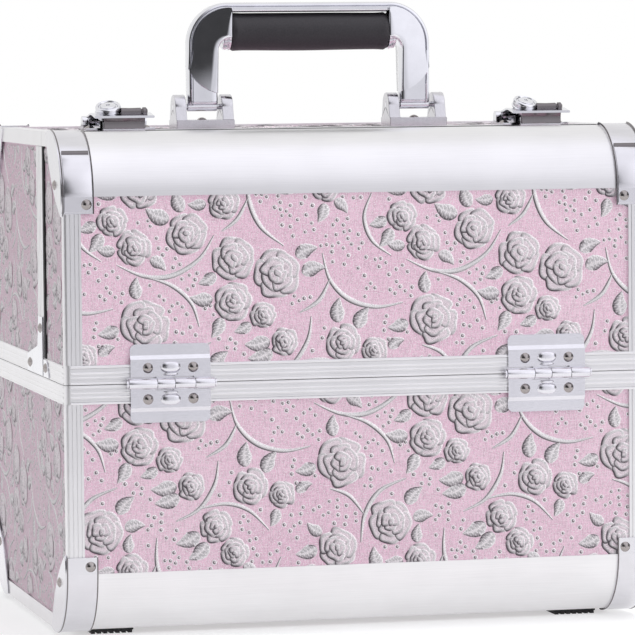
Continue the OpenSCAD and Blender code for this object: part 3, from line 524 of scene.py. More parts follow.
def add_leaf(relief, length, turn):
    """A pointed leaf that starts at the origin and runs along turn."""
    cu, cv = math.cos(turn), math.sin(turn)
    points = []
    for along in shares(3):
        side = LEAF_BEND * length * math.sin(math.pi * along)
        points.append((length * along * cu - side * cv, length * along * cv + side * cu))

    def half(t):
        teeth = 1.0 + 0.07 * ((LEAF_VEINS * t) % 1.0)
        return max(0.05, LEAF_WIDE * length * teeth * math.sin(math.pi * t ** 0.78) * (1.0 - 0.25 * t))

    relief.ribbon(path_stations(smooth_path(points), half), RELIEF_H * 0.7, leaf_look)


def add_stem(relief, points, thick):
    """A curling stem, thick in its middle and pointed at both ends."""

    def half(t):
        return 0.10 + thick * math.sin(math.pi * (0.02 + 0.96 * t)) ** 1.3

    relief.ribbon(path_stations(smooth_path(points, 9), half), RELIEF_H * 0.8, stem_look)


# Rings of a dot from its middle out: share of its radius, height, tone, how far the tone follows
# the light, and share of pink. The dark groove ring is painted shade and the pale rim a painted highlight
DOT_RINGS = [(0.02, 0.40, 0.58, 0.0, 0.3), (0.34, 0.32, 0.46, 0.34, 0.2), (0.62, 0.05, 0.12, 0.34, 0.0),
             (0.90, 0.22, 1.0, 0.0, 0.2), (1.25, 0.0, 1.0, 0.0, 0.3)]


def add_dot(relief, radius):
    """A dot: a small dome in a ring-shaped groove painted dark as shade, darkest away from the light, with a
    raised rim painted pale as a highlight.
    """
    rows = []
    for share, height, tone, swing, pink in DOT_RINGS:
        rows.append([(share * radius * cu, share * radius * cv, height,
                      clamped(tone + swing * facing(cu, cv)), pink) for _, cu, cv in around(10)])
    relief.sheet(rows, closed=True)


# Stems of one repeat of the film, drawn one by one: points and greatest half width
STEMS = [
    ([(-6, 66), (8, 60), (22, 60), (36, 68), (44, 80)], 1.05),
    ([(8, 60), (22, 55), (32, 46), (36, 34)], 0.90),
    ([(62, 112), (62, 98), (68, 84), (80, 74)], 1.05),
    ([(62, 99), (56, 88), (48, 82)], 0.75),
    ([(100, 70), (104, 56), (114, 46), (128, 42), (142, 44)], 1.10),
    ([(104, 57), (98, 46), (88, 40)], 0.85),
    ([(126, 100), (122, 88), (126, 76), (136, 68)], 0.90),
    ([(72, 8), (84, 14), (92, 26), (94, 38)], 0.90),
    ([(84, 14), (98, 16), (110, 12), (120, 2)], 0.80),
    ([(18, -6), (20, 8), (28, 20), (42, 26)], 1.0),
    ([(20, 8), (12, 18), (2, 22)], 0.75),
]
# Farthest that a stem reaches from its first point, and the room kept beside it
STEM_REACH = 70.0
STEM_GAP = 0.6

# Radii of the roses that the remaining room is filled with, from the largest down
ROSE_RADII = [12.6, 12.0, 11.4, 11.0, 10.4, 10.0, 9.6, 9.2, 8.8, 8.4, 8.0, 7.6, 7.2, 7.0, 6.8, 6.6]
ROSE_TRIES = 260
ROSE_GAP = 0.8

# Leaves round each rose: how many, tries and angle between them, shortest and longest, room that
# one takes as a share of its length, distance from the rose, and how far it may lean
LEAVES = 2
LEAF_TRIES = 18
LEAF_TURN = 0.35
LEAF_LENGTHS = (9.0, 13.5)
LEAF_ROOM = 0.38
LEAF_GAP = 1.0
LEAF_LEAN = 0.35

# Dots of one repeat: how many, fewest and most in a cluster, its spread, the radii of a dot, the
# room that a cluster's middle and a dot need and take, and a dot's reach. A cluster without room
# counts as a small part of a dot, so that the filling ends
DOTS = 190
DOT_CLUSTER = (5, 9)
DOT_SPREAD = 3.6
DOT_RADII = (0.95, 1.2)
CLUSTER_ROOM = 1.6
DOT_ROOM = 1.7
DOT_TAKES = 1.1
DOT_REACH = 1.4
NO_ROOM = 0.05


class Film:
    """One repeat of the printed film: forms at their places, without overlaps."""

    def __init__(self):
        self.dice = random.Random(FILM_SEED)
        self.taken = []
        self.forms = []
        self.place_stems()
        roses = self.place_roses()
        self.place_leaves(roses)
        self.place_dots()

    def add(self, u, v, reach, builder, *details):
        """Keeps a form that a function builds about the origin, with its place and reach."""
        relief = Relief()
        builder(relief, *details)
        self.forms.append((relief, u, v, reach))

    def any_turn(self):
        return self.dice.uniform(0, 2 * math.pi)

    def any_place(self):
        return self.dice.uniform(0, FILM_W), self.dice.uniform(0, FILM_H)

    def room(self, u, v):
        """Distance from a point to the nearest form, in the repeating film."""
        nearest = FILM_W
        for tu, tv, radius in self.taken:
            du = abs(u - tu) % FILM_W
            dv = abs(v - tv) % FILM_H
            nearest = min(nearest, math.hypot(min(du, FILM_W - du), min(dv, FILM_H - dv)) - radius)
        return nearest

    def place_stems(self):
        for points, thick in STEMS:
            u0, v0 = points[0]
            self.add(u0, v0, STEM_REACH, add_stem, [(u - u0, v - v0) for u, v in points], thick)
            self.taken += [(u, v, thick + STEM_GAP) for u, v in smooth_path(points, 7)]

    def place_roses(self):
        """Each rose at the tightest place that a number of tries finds."""
        roses = []
        for radius in ROSE_RADII:
            best = None
            for _ in range(ROSE_TRIES):
                u, v = self.any_place()
                room = self.room(u, v) - radius
                if room > ROSE_GAP and (best is None or room < best[0]):
                    best = (room, u, v)
            if best:
                _, u, v = best
                self.add(u, v, 1.3 * radius, add_rose, radius, self.any_turn(), self.dice)
                self.taken.append((u, v, radius))
                roses.append((u, v, radius))
        return roses

    def place_leaves(self, roses):
        """Leaves beside each rose, wherever there is room round it."""
        for u, v, radius in roses:
            turn = self.any_turn()
            made = 0
            for step in range(LEAF_TRIES):
                side = turn + step * LEAF_TURN
                length = self.dice.uniform(*LEAF_LENGTHS)
                reach = radius + LEAF_GAP
                middle = (u + (reach + length / 2) * math.cos(side),
                          v + (reach + length / 2) * math.sin(side))
                if made < LEAVES and self.room(*middle) > LEAF_ROOM * length:
                    lean = self.dice.uniform(-LEAF_LEAN, LEAF_LEAN)
                    self.add(u + reach * math.cos(side), v + reach * math.sin(side), 1.2 * length,
                             add_leaf, length, side + lean)
                    self.taken.append((*middle, LEAF_ROOM * length))
                    made += 1

    def place_dots(self):
        """Clusters of dots in what is left of the film."""
        made = 0
        while made < DOTS:
            cu, cv = self.any_place()
            if self.room(cu, cv) < CLUSTER_ROOM:
                made += NO_ROOM
                continue
            for _ in range(self.dice.randint(*DOT_CLUSTER)):
                u, v = cu + self.dice.gauss(0, DOT_SPREAD), cv + self.dice.gauss(0, DOT_SPREAD)
                if self.room(u, v) > DOT_ROOM:
                    self.add(u, v, DOT_REACH, add_dot, self.dice.uniform(*DOT_RADII))
                    self.taken.append((u, v, DOT_TAKES))
                    made += 1


FILM = Film()
# How far the ornament's feet sink into a board, and how far it runs under the frame's posts and
# rails, so that no edge of it shows
SINK = 0.02
UNDER_FRAME = 1.2
UNDER_RAIL = 4.0
SIDE_INSET = 0.2


def repeats(u, v, reach, region):
    """Every place of a form in the repeating film that touches a region (u0, u1, v0, v1)."""
    u0, u1, v0, v1 = region
    columns = range(math.floor((u0 - reach - u) / FILM_W) + 1, math.floor((u1 + reach - u) / FILM_W) + 1)
    rows = range(math.floor((v0 - reach - v) / FILM_H) + 1, math.floor((v1 + reach - v) / FILM_H) + 1)
    return [(u + i * FILM_W, v + j * FILM_H) for i in columns for j in rows]


def trimmed(relief, edges):
    """The part of a relief inside every edge (u, v, out_u, out_v)."""
    mesh = bmesh.new()
    layer = mesh.verts.layers.float_vector.new("form")
    corners = []
    for place, carried in zip(relief.verts, relief.carried):
        corner = mesh.verts.new(place)
        corner[layer] = carried
        corners.append(corner)
    for face in relief.faces:
        mesh.faces.new([corners[i] for i in face])
    for u, v, out_u, out_v in edges:
        bmesh.ops.bisect_plane(mesh, geom=[*mesh.verts, *mesh.edges, *mesh.faces], dist=1e-5,
                               clear_outer=True, plane_co=(u, v, 0), plane_no=(out_u, out_v, 0))
    mesh.verts.index_update()
    kept = Relief()
    kept.verts = [tuple(corner.co) for corner in mesh.verts]
    kept.carried = [tuple(corner[layer]) for corner in mesh.verts]
    kept.faces = [tuple(corner.index for corner in face.verts) for face in mesh.faces]
    mesh.free()
    return kept


def add_ornament(name, body, region, axes, shift, cuts=()):
    """Ornament on one board. axes are its origin and its u, v and outward directions.

    cuts are extra (u, v, out_u, out_v) edges beyond which the ornament stops.
    """
    u0, u1, v0, v1 = region
    edges = [(u0, v0, -1, 0), (u1, v1, 1, 0), (u0, v0, 0, -1), (u1, v1, 0, 1), *cuts]
    whole, crossing = Relief(), Relief()
    for form, form_u, form_v, reach in FILM.forms:
        for u, v in repeats(form_u + shift[0], form_v + shift[1], reach, region):
            clear = all((eu - u) * ou + (ev - v) * ov > reach for eu, ev, ou, ov in edges)
            (whole if clear else crossing).stamp(form, u, v)
    whole.stamp(trimmed(crossing, edges), 0.0, 0.0)
    origin, along_u, along_v, outward = (Vector(a) for a in axes)
    verts = [origin + along_u * u + along_v * v + outward * (h - SINK) for u, v, h in whole.verts]
    piece = new_piece(name, body, FOIL, verts, whole.faces)
    attribute = piece.data.attributes.new("form", "FLOAT_VECTOR", "POINT")
    attribute.data.foreach_set("vector", [c for carried in whole.carried for c in carried])


def round_corner(u, v, side_u, side_v):
    """Cuts that round a side board's corner at (u, v), which lies towards (side_u, side_v)."""
    cuts = []
    for share in (0.16, 0.5, 0.84):
        turn = share * math.pi / 2
        out = (side_u * math.cos(turn), side_v * math.sin(turn))
        cuts.append((u + (out[0] - side_u) * BOARD_R, v + (out[1] - side_v) * BOARD_R, *out))
    return cuts


# Boards with the film's shift on each, so that no two start alike. Front and rear: which side
UPRIGHT_BOARDS = [("front_lid_front_panel", "front_lid", 1, (31, 12)),
                  ("base_front_panel", "base", 1, (-18, 52)),
                  ("rear_lid_rear_panel", "rear_lid", -1, (64, 30)),
                  ("base_rear_panel", "base", -1, (5, 75))]
# Sides: whether the board's front and rear end, and its top and bottom, have rounded corners
SIDE_BOARDS = [("front_lid_side_panels", "front_lid", (1, 0), (1, 0), (12, 40)),
               ("rear_lid_side_panels", "rear_lid", (0, 1), (1, 0), (12, 40)),
               ("base_side_panels", "base", (1, 1), (0, 1), (50, 8))]
# Tops: width that the edge profile covers
TOP_BOARDS = [("front_lid_top_panel", "front_lid", 0.0), ("rear_lid_top_panel", "rear_lid", EDGE_PROFILE_W)]
TOP_SHIFT = (20, 60)


def dress_upright_boards():
    """Ornament on the front and rear boards."""
    for node, body, side, shift in UPRIGHT_BOARDS:
        low, high = box_mm(node)
        edge = high.x - POST_W + UNDER_FRAME
        y = low.y if side > 0 else high.y
        axes = ((0, y, 0), (side, 0, 0), (0, 0, 1), (0, -side, 0))
        add_ornament(f"{node}_ornament", body, (-edge, edge, low.z, high.z), axes, shift)


def dress_side_boards():
    """Ornament on both sides, up to the edge profile and round the boards' corners."""
    for node, body, depth_ends, height_ends, shift in SIDE_BOARDS:
        low, high = box_mm(node)
        base = body == "base"
        front_y = low.y + SIDE_INSET + (EDGE_PROFILE_W if body == "rear_lid" else 0.0)
        rear_y = high.y - SIDE_INSET
        z0 = low.z + (RAIL_H - UNDER_RAIL if base else 0.0)
        z1 = high.z - (0.0 if base else RAIL_H - UNDER_RAIL)
        for side, label in ((-1, "left"), (1, "right")):
            x = low.x if side < 0 else high.x
            axes = ((x, 0, 0), (0, side, 0), (0, 0, 1), (side, 0, 0))
            cuts = []
            for y, at_end in ((low.y, depth_ends[0]), (high.y, depth_ends[1])):
                for z, up, at_height in ((high.z, 1, height_ends[0]), (low.z, -1, height_ends[1])):
                    if at_end and at_height:
                        cuts += round_corner(side * y, z, math.copysign(1, side * y), up)
            region = (*sorted((side * front_y, side * rear_y)), z0, z1)
            add_ornament(f"{node}_{label}_ornament", body, region, axes, shift, cuts)


def dress_top_boards():
    """Ornament on the lids' tops, beside the edge profile."""
    for node, body, covered in TOP_BOARDS:
        low, high = box_mm(node)
        edge = high.x - RAIL_FLANGE + UNDER_FRAME
        axes = ((0, 0, high.z), (1, 0, 0), (0, 1, 0), (0, 0, 1))
        add_ornament(f"{node}_ornament", body, (-edge, edge, low.y + covered, high.y), axes, TOP_SHIFT)


# ---- pressed, cast and turned forms ----

CREASE = math.radians(38.0)
PLATE_ROUND = 0.3


class Form:
    """Corners and faces of one hard piece, put together from lofts and turned shapes."""

    def __init__(self):
        self.verts = []
        self.faces = []

    def loft(self, rings):
        """Closed rings of as many corners each, joined by quads, with both ends closed."""
        first = len(self.verts)
        n = len(rings[0])
        for ring in rings:
            self.verts += [tuple(corner) for corner in ring]
        for i in range(len(rings) - 1):
            for j in range(n):
                a = first + i * n + j
                b = first + i * n + (j + 1) % n
                self.faces.append((a, b, b + n, a + n))
        self.faces.append(tuple(first + j for j in reversed(range(n))))
        self.faces.append(tuple(first + (len(rings) - 1) * n + j for j in range(n)))

    def turned(self, profile, place, axis, sides=40):
        """A turned shape: a profile (along, radius) about an axis through a place."""
        spin = Vector(axis).to_track_quat("Z", "X")
        rings = []
        for along, radius in profile:
            rings.append([Vector(place) + spin @ Vector((radius * cu, radius * cv, along))
                          for _, cu, cv in around(sides)])
        self.loft(rings)

    def bent_plate(self, path, half_w, thick):
        """A plate across X: its middle line is a path of (x, y, z) points, its edges are rounded."""
        h = thick / 2
        narrow = 1 - PLATE_ROUND / half_w
        section = [(-1, PLATE_ROUND - h), (-1, h - PLATE_ROUND), (-narrow, h), (narrow, h),
                   (1, h - PLATE_ROUND), (1, PLATE_ROUND - h), (narrow, -h), (-narrow, -h)]
        rings = []
        last = len(path) - 1
        for i, (x, y, z) in enumerate(path):
            before, after = path[max(i - 1, 0)], path[min(i + 1, last)]
            along = Vector((0, after[1] - before[1], after[2] - before[2])).normalized()
            rings.append([(x + side * half_w, y - along.z * level, z + along.y * level)
                          for side, level in section])
        self.loft(rings)

    def bead(self, path, across, width, height, sink=0.05, steps=8):
        """A half-round bead along a path of (place, outward direction), spread along across."""
        rings = []
        for place, out in path:
            ring = []
            for share in shares(steps):
                reach = height * math.sin(math.pi * share) - sink
                side = 0.5 * width * math.cos(math.pi * share)
                ring.append(tuple(p + o * reach + a * side for p, o, a in zip(place, out, across)))
            rings.append(ring)
        self.loft(rings)

    def piece(self, name, body, slot, material):
        """Makes the piece, with faces turned outwards and sharp edges kept sharp."""
        piece = new_piece(name, body, material, self.verts, self.faces)
        mesh = bmesh.new()
        mesh.from_mesh(piece.data)
        bmesh.ops.recalc_face_normals(mesh, faces=mesh.faces)
        mesh.to_mesh(piece.data)
        mesh.free()
        piece.data.set_sharp_from_angle(angle=CREASE)
        return piece


def rod(first, last, radius, chamfer):
    """Profile of a rod with rounded ends, between two places along its axis."""
    end_r = radius - 0.45
    return [(first, end_r), (first + chamfer, radius), (last - chamfer, radius), (last, end_r)]


def arc_points(centre, radius, first, last, steps):
    """Points (u, v) on an arc between two angles in degrees."""
    turns = [math.radians(first + (last - first) * share) for share in shares(steps)]
    return [(centre[0] + radius * math.cos(turn), centre[1] + radius * math.sin(turn)) for turn in turns]


def between(points, share):
    """The point at a share of the length of a path (u, v)."""
    sizes = [math.dist(p, q) for p, q in zip(points, points[1:])]
    left = share * sum(sizes)
    for p, q, size in zip(points, points[1:], sizes):
        if left <= size + 1e-9:
            return tuple(a + (b - a) * left / size for a, b in zip(p, q))
        left -= size
    return points[-1]


# ---- handle ----

# Bend of the frame's outer corners, width of its legs, and half the bar's length over the grip
HANDLE_R = 22.0
LEG_W = 16.2
GRIP_HALF = 42.5
# Bend inside each corner, and how far below the top the thick corner ends over the grip
ARMPIT_R = 6.0
ARMPIT_DROP = 18.9
# Round ledge where a thick corner ends on its leg: radius, and its middle from the outside and top
LEDGE_R = 22.0
LEDGE_IN = 20.5
LEDGE_DROP = 26.0
# Thickness of the bar, half depths of the bar, of the corners' rim and of the tongues under the
# ledges, and how much deeper the corners bulge
BAR_T = 5.2
BAR_HALF_D = 6.8
RIM_HALF_D = 4.2
TONGUE_HALF_D = 3.4
BULGE = 5.0
# The frame's outer bead and the groove behind it: distance from the outer edge and half depth
BEAD = [(0.0, 2.0), (0.25, 3.1), (0.8, 3.85), (1.5, 4.0), (2.1, 3.6), (2.4, 2.7), (2.75, 2.7)]
# The face behind the bead: where it starts, how far from the inner edge it ends, and its columns
FACE_START = 3.0
FACE_END = 1.2
FACE_COLUMNS = [0.0, 0.06, 0.3, 0.55, 0.8, 1.0]
# The rounded inner edge: distance from the edge and how much less deep than the face
INNER_EDGE = [(0.7, 0.2), (0.25, 0.55)]
INNER_LESS = 1.2
# Steps of the mesh along a leg, round a corner, along half the bar, and on each arc
LEG_STEPS = 8
TURN_STEPS = 26
BAR_STEPS = 6
ARC_STEPS = 24
ARMPIT_STEPS = 8
# A tongue: height of its foot over the frame's, how far it lies in from the outside, and its
# levels over its foot with how far each is drawn in
TONGUE_FOOT = 3.4
TONGUE_IN = 0.1
TONGUE_LEVELS = [(0.0, 0.8), (0.35, 0.3), (1.0, 0.0), (1.5, 0.0), (1.7, 0.3), (1.9, 0.0), (28.0, 0.0)]
# The eye at each foot: its radius and height over the frame's foot
EYE_R = 2.35
EYE_RISE = 2.4
# Collar at each end of the grip: its middle below the bar, and its profile
COLLAR_DROP = 11.6
COLLAR = [(0.0, 7.6), (0.5, 8.4), (1.6, 8.4), (1.9, 7.8), (2.3, 7.8), (2.6, 8.2), (3.9, 8.0), (4.4, 7.4)]


def frame_ring(point, width, face, y, grow=0.0):
    """One closed ring of the handle's frame: its front from the outer edge inwards, then its back.

    point(share) gives (x, z) across the frame, face(x, z) its half depth, and grow draws it in.
    """
    front = []
    for d, half in BEAD:
        front.append((*point(clamped((d + grow) / width)), half - grow))
    line = [(FACE_START + (width - FACE_START - FACE_END) * share, 0.0) for share in FACE_COLUMNS]
    line += [(width - d, less) for d, less in INNER_EDGE] + [(width - grow, INNER_LESS)]
    for d, less in line:
        x, z = point(clamped(d / width))
        front.append((x, z, face(x, z) - less - grow))
    return [(x, y - half, z) for x, z, half in front] + [(x, y + half, z) for x, z, half in reversed(front)]


def corner_depth(x, z, tip_z, out_x):
    """Half depth of the thick corner: it thins towards the side and towards the ledge."""
    inwards = clamped((out_x + 1.0 - abs(x)) / (out_x + 1.0 - GRIP_HALF))
    upwards = clamped((z - tip_z) / (LEDGE_R + 2.0))
    return RIM_HALF_D + BULGE * inwards * (0.4 + 0.6 * upwards)


def corner_outlines(out_x, top):
    """Paths (x, z) of the right corner: its ledge, its inside and its outside."""
    in_x = out_x - LEG_W
    middle_x, middle_z = out_x - LEDGE_IN, top - LEDGE_DROP
    first, last = (-math.degrees(math.acos((x - middle_x) / LEDGE_R)) for x in (out_x, in_x))
    ledge = arc_points((middle_x, middle_z), LEDGE_R, first, last, ARC_STEPS)
    armpit_z = top - ARMPIT_DROP
    inside = arc_points((in_x - ARMPIT_R, armpit_z - ARMPIT_R), ARMPIT_R, 0.0, 90.0, ARMPIT_STEPS)
    inside += [(GRIP_HALF, armpit_z), (GRIP_HALF, top - BAR_T)]
    outside = arc_points((out_x - HANDLE_R, top - HANDLE_R), HANDLE_R, 0.0, 90.0, ARC_STEPS)
    return ledge, inside, outside


def frame_stations(ledge, inside, outside, top):
    """Outer and inner points across the frame, with their share of the ledge's bow, up to the bar."""
    stations = []
    for t in shares(LEG_STEPS)[:-1]:
        outer = (outside[0][0], ledge[0][1] + t * (outside[0][1] - ledge[0][1]))
        inner = (inside[0][0], ledge[-1][1] + t * (inside[0][1] - ledge[-1][1]))
        stations.append((outer, inner, (1.0 - t) ** 2))
    for t in shares(TURN_STEPS):
        stations.append((between(outside, t), between(inside, t), 0.0))
    for t in shares(BAR_STEPS)[:-1]:
        x = (GRIP_HALF - 0.5) * (1.0 - t)
        stations.append(((x, top), (x, top - BAR_T), 0.0))
    return stations


def add_leg_end(form, side, out_x, y, foot_z):
    """The slim tongue below a ledge and the eye at its foot."""
    tongue = []
    for rise, grow in TONGUE_LEVELS:
        z = foot_z + TONGUE_FOOT + rise
        tongue.append(frame_ring(lambda share: (side * (out_x - TONGUE_IN - LEG_W * share), z), LEG_W,
                                 lambda _x, _z: TONGUE_HALF_D, y, grow))
    form.loft(tongue)
    start_x = out_x - LEG_W if side > 0 else -out_x
    form.turned(rod(0.0, LEG_W, EYE_R, 0.4), (start_x, y, foot_z + EYE_RISE), (1, 0, 0), sides=24)


def add_handle():
    """Cast frame with a beaded edge, its legs' ends, and the grip's collars."""
    low, high = box_mm("handle_frame")
    out_x, top, y = high.x, high.z, (low.y + high.y) / 2
    ledge, inside, outside = corner_outlines(out_x, top)

    def face(x, z):
        if abs(x) < GRIP_HALF - 0.2:
            return BAR_HALF_D
        return corner_depth(x, z, top - LEDGE_DROP - LEDGE_R, out_x)

    rings = []
    for outer, inner, bow in frame_stations(ledge, inside, outside, top):

        def point(share):
            curve = between(ledge, share)
            return tuple(a + (b - a) * share + bow * (c - (p + (q - p) * share))
                         for a, b, c, p, q in zip(outer, inner, curve, ledge[0], ledge[-1]))

        rings.append(frame_ring(point, math.dist(outer, inner), face, y))
    middle = frame_ring(lambda share: (0.0, top - BAR_T * share), BAR_T, face, y)
    form = Form()
    form.loft(rings + [middle] + [[(-x, fy, z) for x, fy, z in ring] for ring in reversed(rings)])
    for side in (-1, 1):
        add_leg_end(form, side, out_x, y, low.z)
        form.turned(COLLAR, (side * (GRIP_HALF + 0.05), y, top - BAR_T - COLLAR_DROP), (side, 0, 0))
    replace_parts(form.piece("handle_frame_shell", "handle", "bright_steel", CHROME), "handle_frame")


# The grip's sleeve: how far it stays inside the solid, how much it flares towards its ends and over
# what length, its crown at the middle, the round of its ends, and the height of its uneven waves
SLEEVE_IN = 0.12
FLARE = 0.30
FLARE_L = 6.0
CROWN = 0.25
END_ROUND = 0.9
WAVE = 0.025
WAVE_SEED = 7


def add_grip():
    """Sleeve of the grip, drawn tight: flared ends and a slightly uneven surface."""
    low, high = box_mm("handle_grip")
    dice = random.Random(WAVE_SEED)
    waves = [(dice.uniform(0.05, 0.16), dice.randint(1, 3), dice.uniform(0, 6.0)) for _ in range(6)]
    length = high.x - low.x
    radius = (high.z - low.z) / 2
    middle = (low + high) / 2
    rings = []
    for share in shares(64):
        x = low.x + length * share
        end = min(share, 1.0 - share) * length
        base = radius - FLARE * clamped(end / FLARE_L) + CROWN * math.sin(math.pi * share) ** 2
        base -= END_ROUND * clamped(1.0 - end / END_ROUND) ** 2 + SLEEVE_IN
        ring = []
        for turn, cu, cv in around(48):
            uneven = sum(math.sin(pace * x + count * turn + phase) for pace, count, phase in waves)
            r = min(radius, base + WAVE * uneven)
            ring.append((x, middle.y + r * cu, middle.z + r * cv))
        rings.append(ring)
    form = Form()
    form.loft(rings)
    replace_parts(form.piece("handle_grip_sleeve", "handle", "grip_rubber", GRIP), "handle_grip")


# ---- latches ----

# The lever: half widths of its bowed plate and of the ears behind, its thickness, its axis from the
# rear and foot of its box, its plate over the axis, the plate's start, length and bow, how far the
# ears fall, and the radius of its knuckle
LEVER_HALF_W = 15.6
LEVER_EAR_W = 13.4
LEVER_T = 1.3
AXIS_IN = 2.6
AXIS_RISE = 3.6
PLATE_RISE = 2.5
PLATE_START = 0.7
PLATE_L = 24.0
PLATE_BOW = 1.5
EAR_DROP = 1.1
LEVER_KNUCKLE_R = 2.55
# The lock: radius, lean to the front and to the side, and its place on the plate
LOCK_R = 6.6
LOCK_LEAN = math.radians(24.0)
LOCK_ASIDE = 0.12
LOCK_AT = (-6.4, 11.5, 1.6)
# The lock's drum, from its foot up to its recessed face: along its axis, and radius over LOCK_R
LOCK_LINE = [(-1.8, -0.9), (0.2, -0.5), (0.5, 0.1), (1.2, 0.3), (1.6, -0.2), (1.9, -0.6), (2.2, -0.1),
             (3.9, 0.0), (4.6, -0.4), (4.9, -1.1), (4.5, -1.7), (3.9, -1.9), (3.8, -2.5), (4.7, -2.8),
             (5.0, -3.3), (5.0, -5.6), (4.4, -5.8), (4.3, -6.5)]
# The hook at the front: half width, thickness, distance from the front, bow, and its foot and top
# from the lever's foot and plate
HOOK_HALF_W = 10.6
HOOK_T = 1.1
HOOK_IN = 0.75
HOOK_BOW = 0.5
HOOK_FOOT = 0.1
HOOK_TOP = 0.5
# The rolled tube: radius, place on the plate, and its profile from its root to its curled end,
# along it and radius over TUBE_R
TUBE_R = 1.9
TUBE_AT = (-1.0, 7.0, 2.7)
TUBE_LINE = [(0.0, -0.7), (0.3, 0.0), (5.0, -0.15), (10.4, 0.0), (10.8, -0.5), (11.3, -0.5),
             (11.6, 0.2), (13.2, 0.2), (14.0, -0.7)]


def add_latch(label, side):
    """Bowed lever with its knuckle and lock drum, and its darker hook and rolled tube."""
    low, high = box_mm(f"{label}_latch_lever")
    x = (low.x + high.x) / 2
    front, axis_y, axis_z = low.y, high.y - AXIS_IN, low.z + AXIS_RISE
    plate_z = axis_z + PLATE_RISE
    body = f"{label}_latch"

    def on_plate(offset):
        return x + offset[0], front + offset[1], plate_z + offset[2]

    bright = Form()
    bright.bent_plate([(x, front + PLATE_START + (PLATE_L - PLATE_START) * t,
                        plate_z + PLATE_BOW * math.sin(math.pi * t) ** 1.5) for t in shares(12)],
                      LEVER_HALF_W, LEVER_T)
    bright.bent_plate([(x, front + PLATE_L + (axis_y - front - PLATE_L) * t, plate_z - EAR_DROP * t * t)
                       for t in shares(5)], LEVER_EAR_W, LEVER_T)
    knuckle = rod(-LEVER_EAR_W, LEVER_EAR_W, LEVER_KNUCKLE_R, 0.5)
    bright.turned(knuckle, (x, axis_y, axis_z), (1, 0, 0), sides=28)
    lean = (LOCK_ASIDE * side, -math.sin(LOCK_LEAN), math.cos(LOCK_LEAN))
    bright.turned([(along, LOCK_R + over) for along, over in LOCK_LINE], on_plate(LOCK_AT), lean, sides=48)

    dark = Form()
    hook_h = plate_z - HOOK_TOP - low.z - HOOK_FOOT
    dark.bent_plate([(x, front + HOOK_IN + HOOK_BOW * math.sin(math.pi * t), low.z + HOOK_FOOT + hook_h * t)
                     for t in shares(8)], HOOK_HALF_W, HOOK_T)
    dark.turned([(along, TUBE_R + over) for along, over in TUBE_LINE], on_plate(TUBE_AT), (1, 0, 0), sides=28)
    lever = bright.piece(f"{body}_lever_body", body, "bright_steel", CHROME)
    hook = dark.piece(f"{body}_lever_hook", body, "bright_steel", DARK_CHROME_AND_SHADE)
    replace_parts(lever, f"{label}_latch_lever")
    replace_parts(hook, f"{label}_latch_lever")


# ---- hinge bosses ----

HINGE_X = 98.5
KNUCKLE_R = 2.8
# Distance of a leaf's outer face behind the hinge's axis
LEAF_BEHIND = 1.8
# The ovals of a leaf: height over the seam, half width, half height and depth
BOSSES = [(8.2, 5.0, 2.9, 1.0), (4.6, 3.7, 0.9, 0.7)]
BOSS_POWER = 2.6
# A pressed oval: share of its half size, and share of its depth
BOSS_LINE = [(1.04, -0.1), (1.0, 0.1), (0.93, 0.55), (0.8, 0.95), (0.6, 1.2), (0.3, 1.3), (0.02, 1.32)]
# Leaves by body: whether they stand up from the seam, and on which faces, front or rear
HINGE_LEAVES = [("front_lid", 1, (-1,)), ("rear_lid", 1, (1,)), ("base", -1, (-1, 1))]


def add_boss(form, place, across, half_w, half_h, height):
    """An oval boss on an upright face that looks across, along -Y or +Y."""
    x, y, z = place
    rings = []
    for share, rise in BOSS_LINE:
        ring = []
        for _, cu, cv in around(28):
            reach = share * squarish(cu, cv, BOSS_POWER)
            ring.append((x + half_w * reach * cu, y + across * rise * height, z + half_h * reach * cv))
        rings.append(ring)
    form.loft(rings)


def add_bosses():
    """Pressed ovals between the rivets of each hinge leaf, with a small raised slot beside each."""
    for body, up, faces in HINGE_LEAVES:
        low, high = box_mm(f"{body}_hinge_leaves")
        seam = low.z + KNUCKLE_R if up > 0 else high.z - KNUCKLE_R
        form = Form()
        for across in faces:
            face_y = (low.y if across < 0 else high.y) - across * (KNUCKLE_R + LEAF_BEHIND)
            for x in (-HINGE_X, HINGE_X):
                for rise, half_w, half_h, height in BOSSES:
                    add_boss(form, (x, face_y, seam + up * rise), across, half_w, half_h, height)
        form.piece(f"{body}_hinge_bosses", body, "hinge_steel", HINGE_STEEL)


# ---- cap edges and band lines ----

# A cap: radius of its bend, width, length of its tail, and how far it stands over the sides
CAP_BEND_R = 32.8
CAP_W = 16.0
CAP_TAIL = 8.5
CAP_OVER = 0.8
# Height of the lid caps' raised field, and the angle on the bend at which it ends
FIELD_RISE = 0.5
FIELD_TOP = math.radians(41.3)
# Beads along a cap's edges: distance from the edge, width and height, and the angle of their end
EDGE_IN = 0.3
EDGE_BEAD_W = 0.7
EDGE_BEAD_H = 0.34
EDGE_TOP = math.radians(88.0)
# Lip above the raised field: distance from the cap's edges, width and height
LIP_IN = 1.2
LIP_W = 2.6
LIP_H = 0.6
# Depth and sides of both kinds of bead
BEAD_SINK = 0.08
BEAD_STEPS = 6
# Caps by body: whether they bend up, and at which ends, front or rear
CAPS = [("front_lid", 1, (-1,)), ("rear_lid", 1, (1,)), ("base", -1, (-1, 1))]


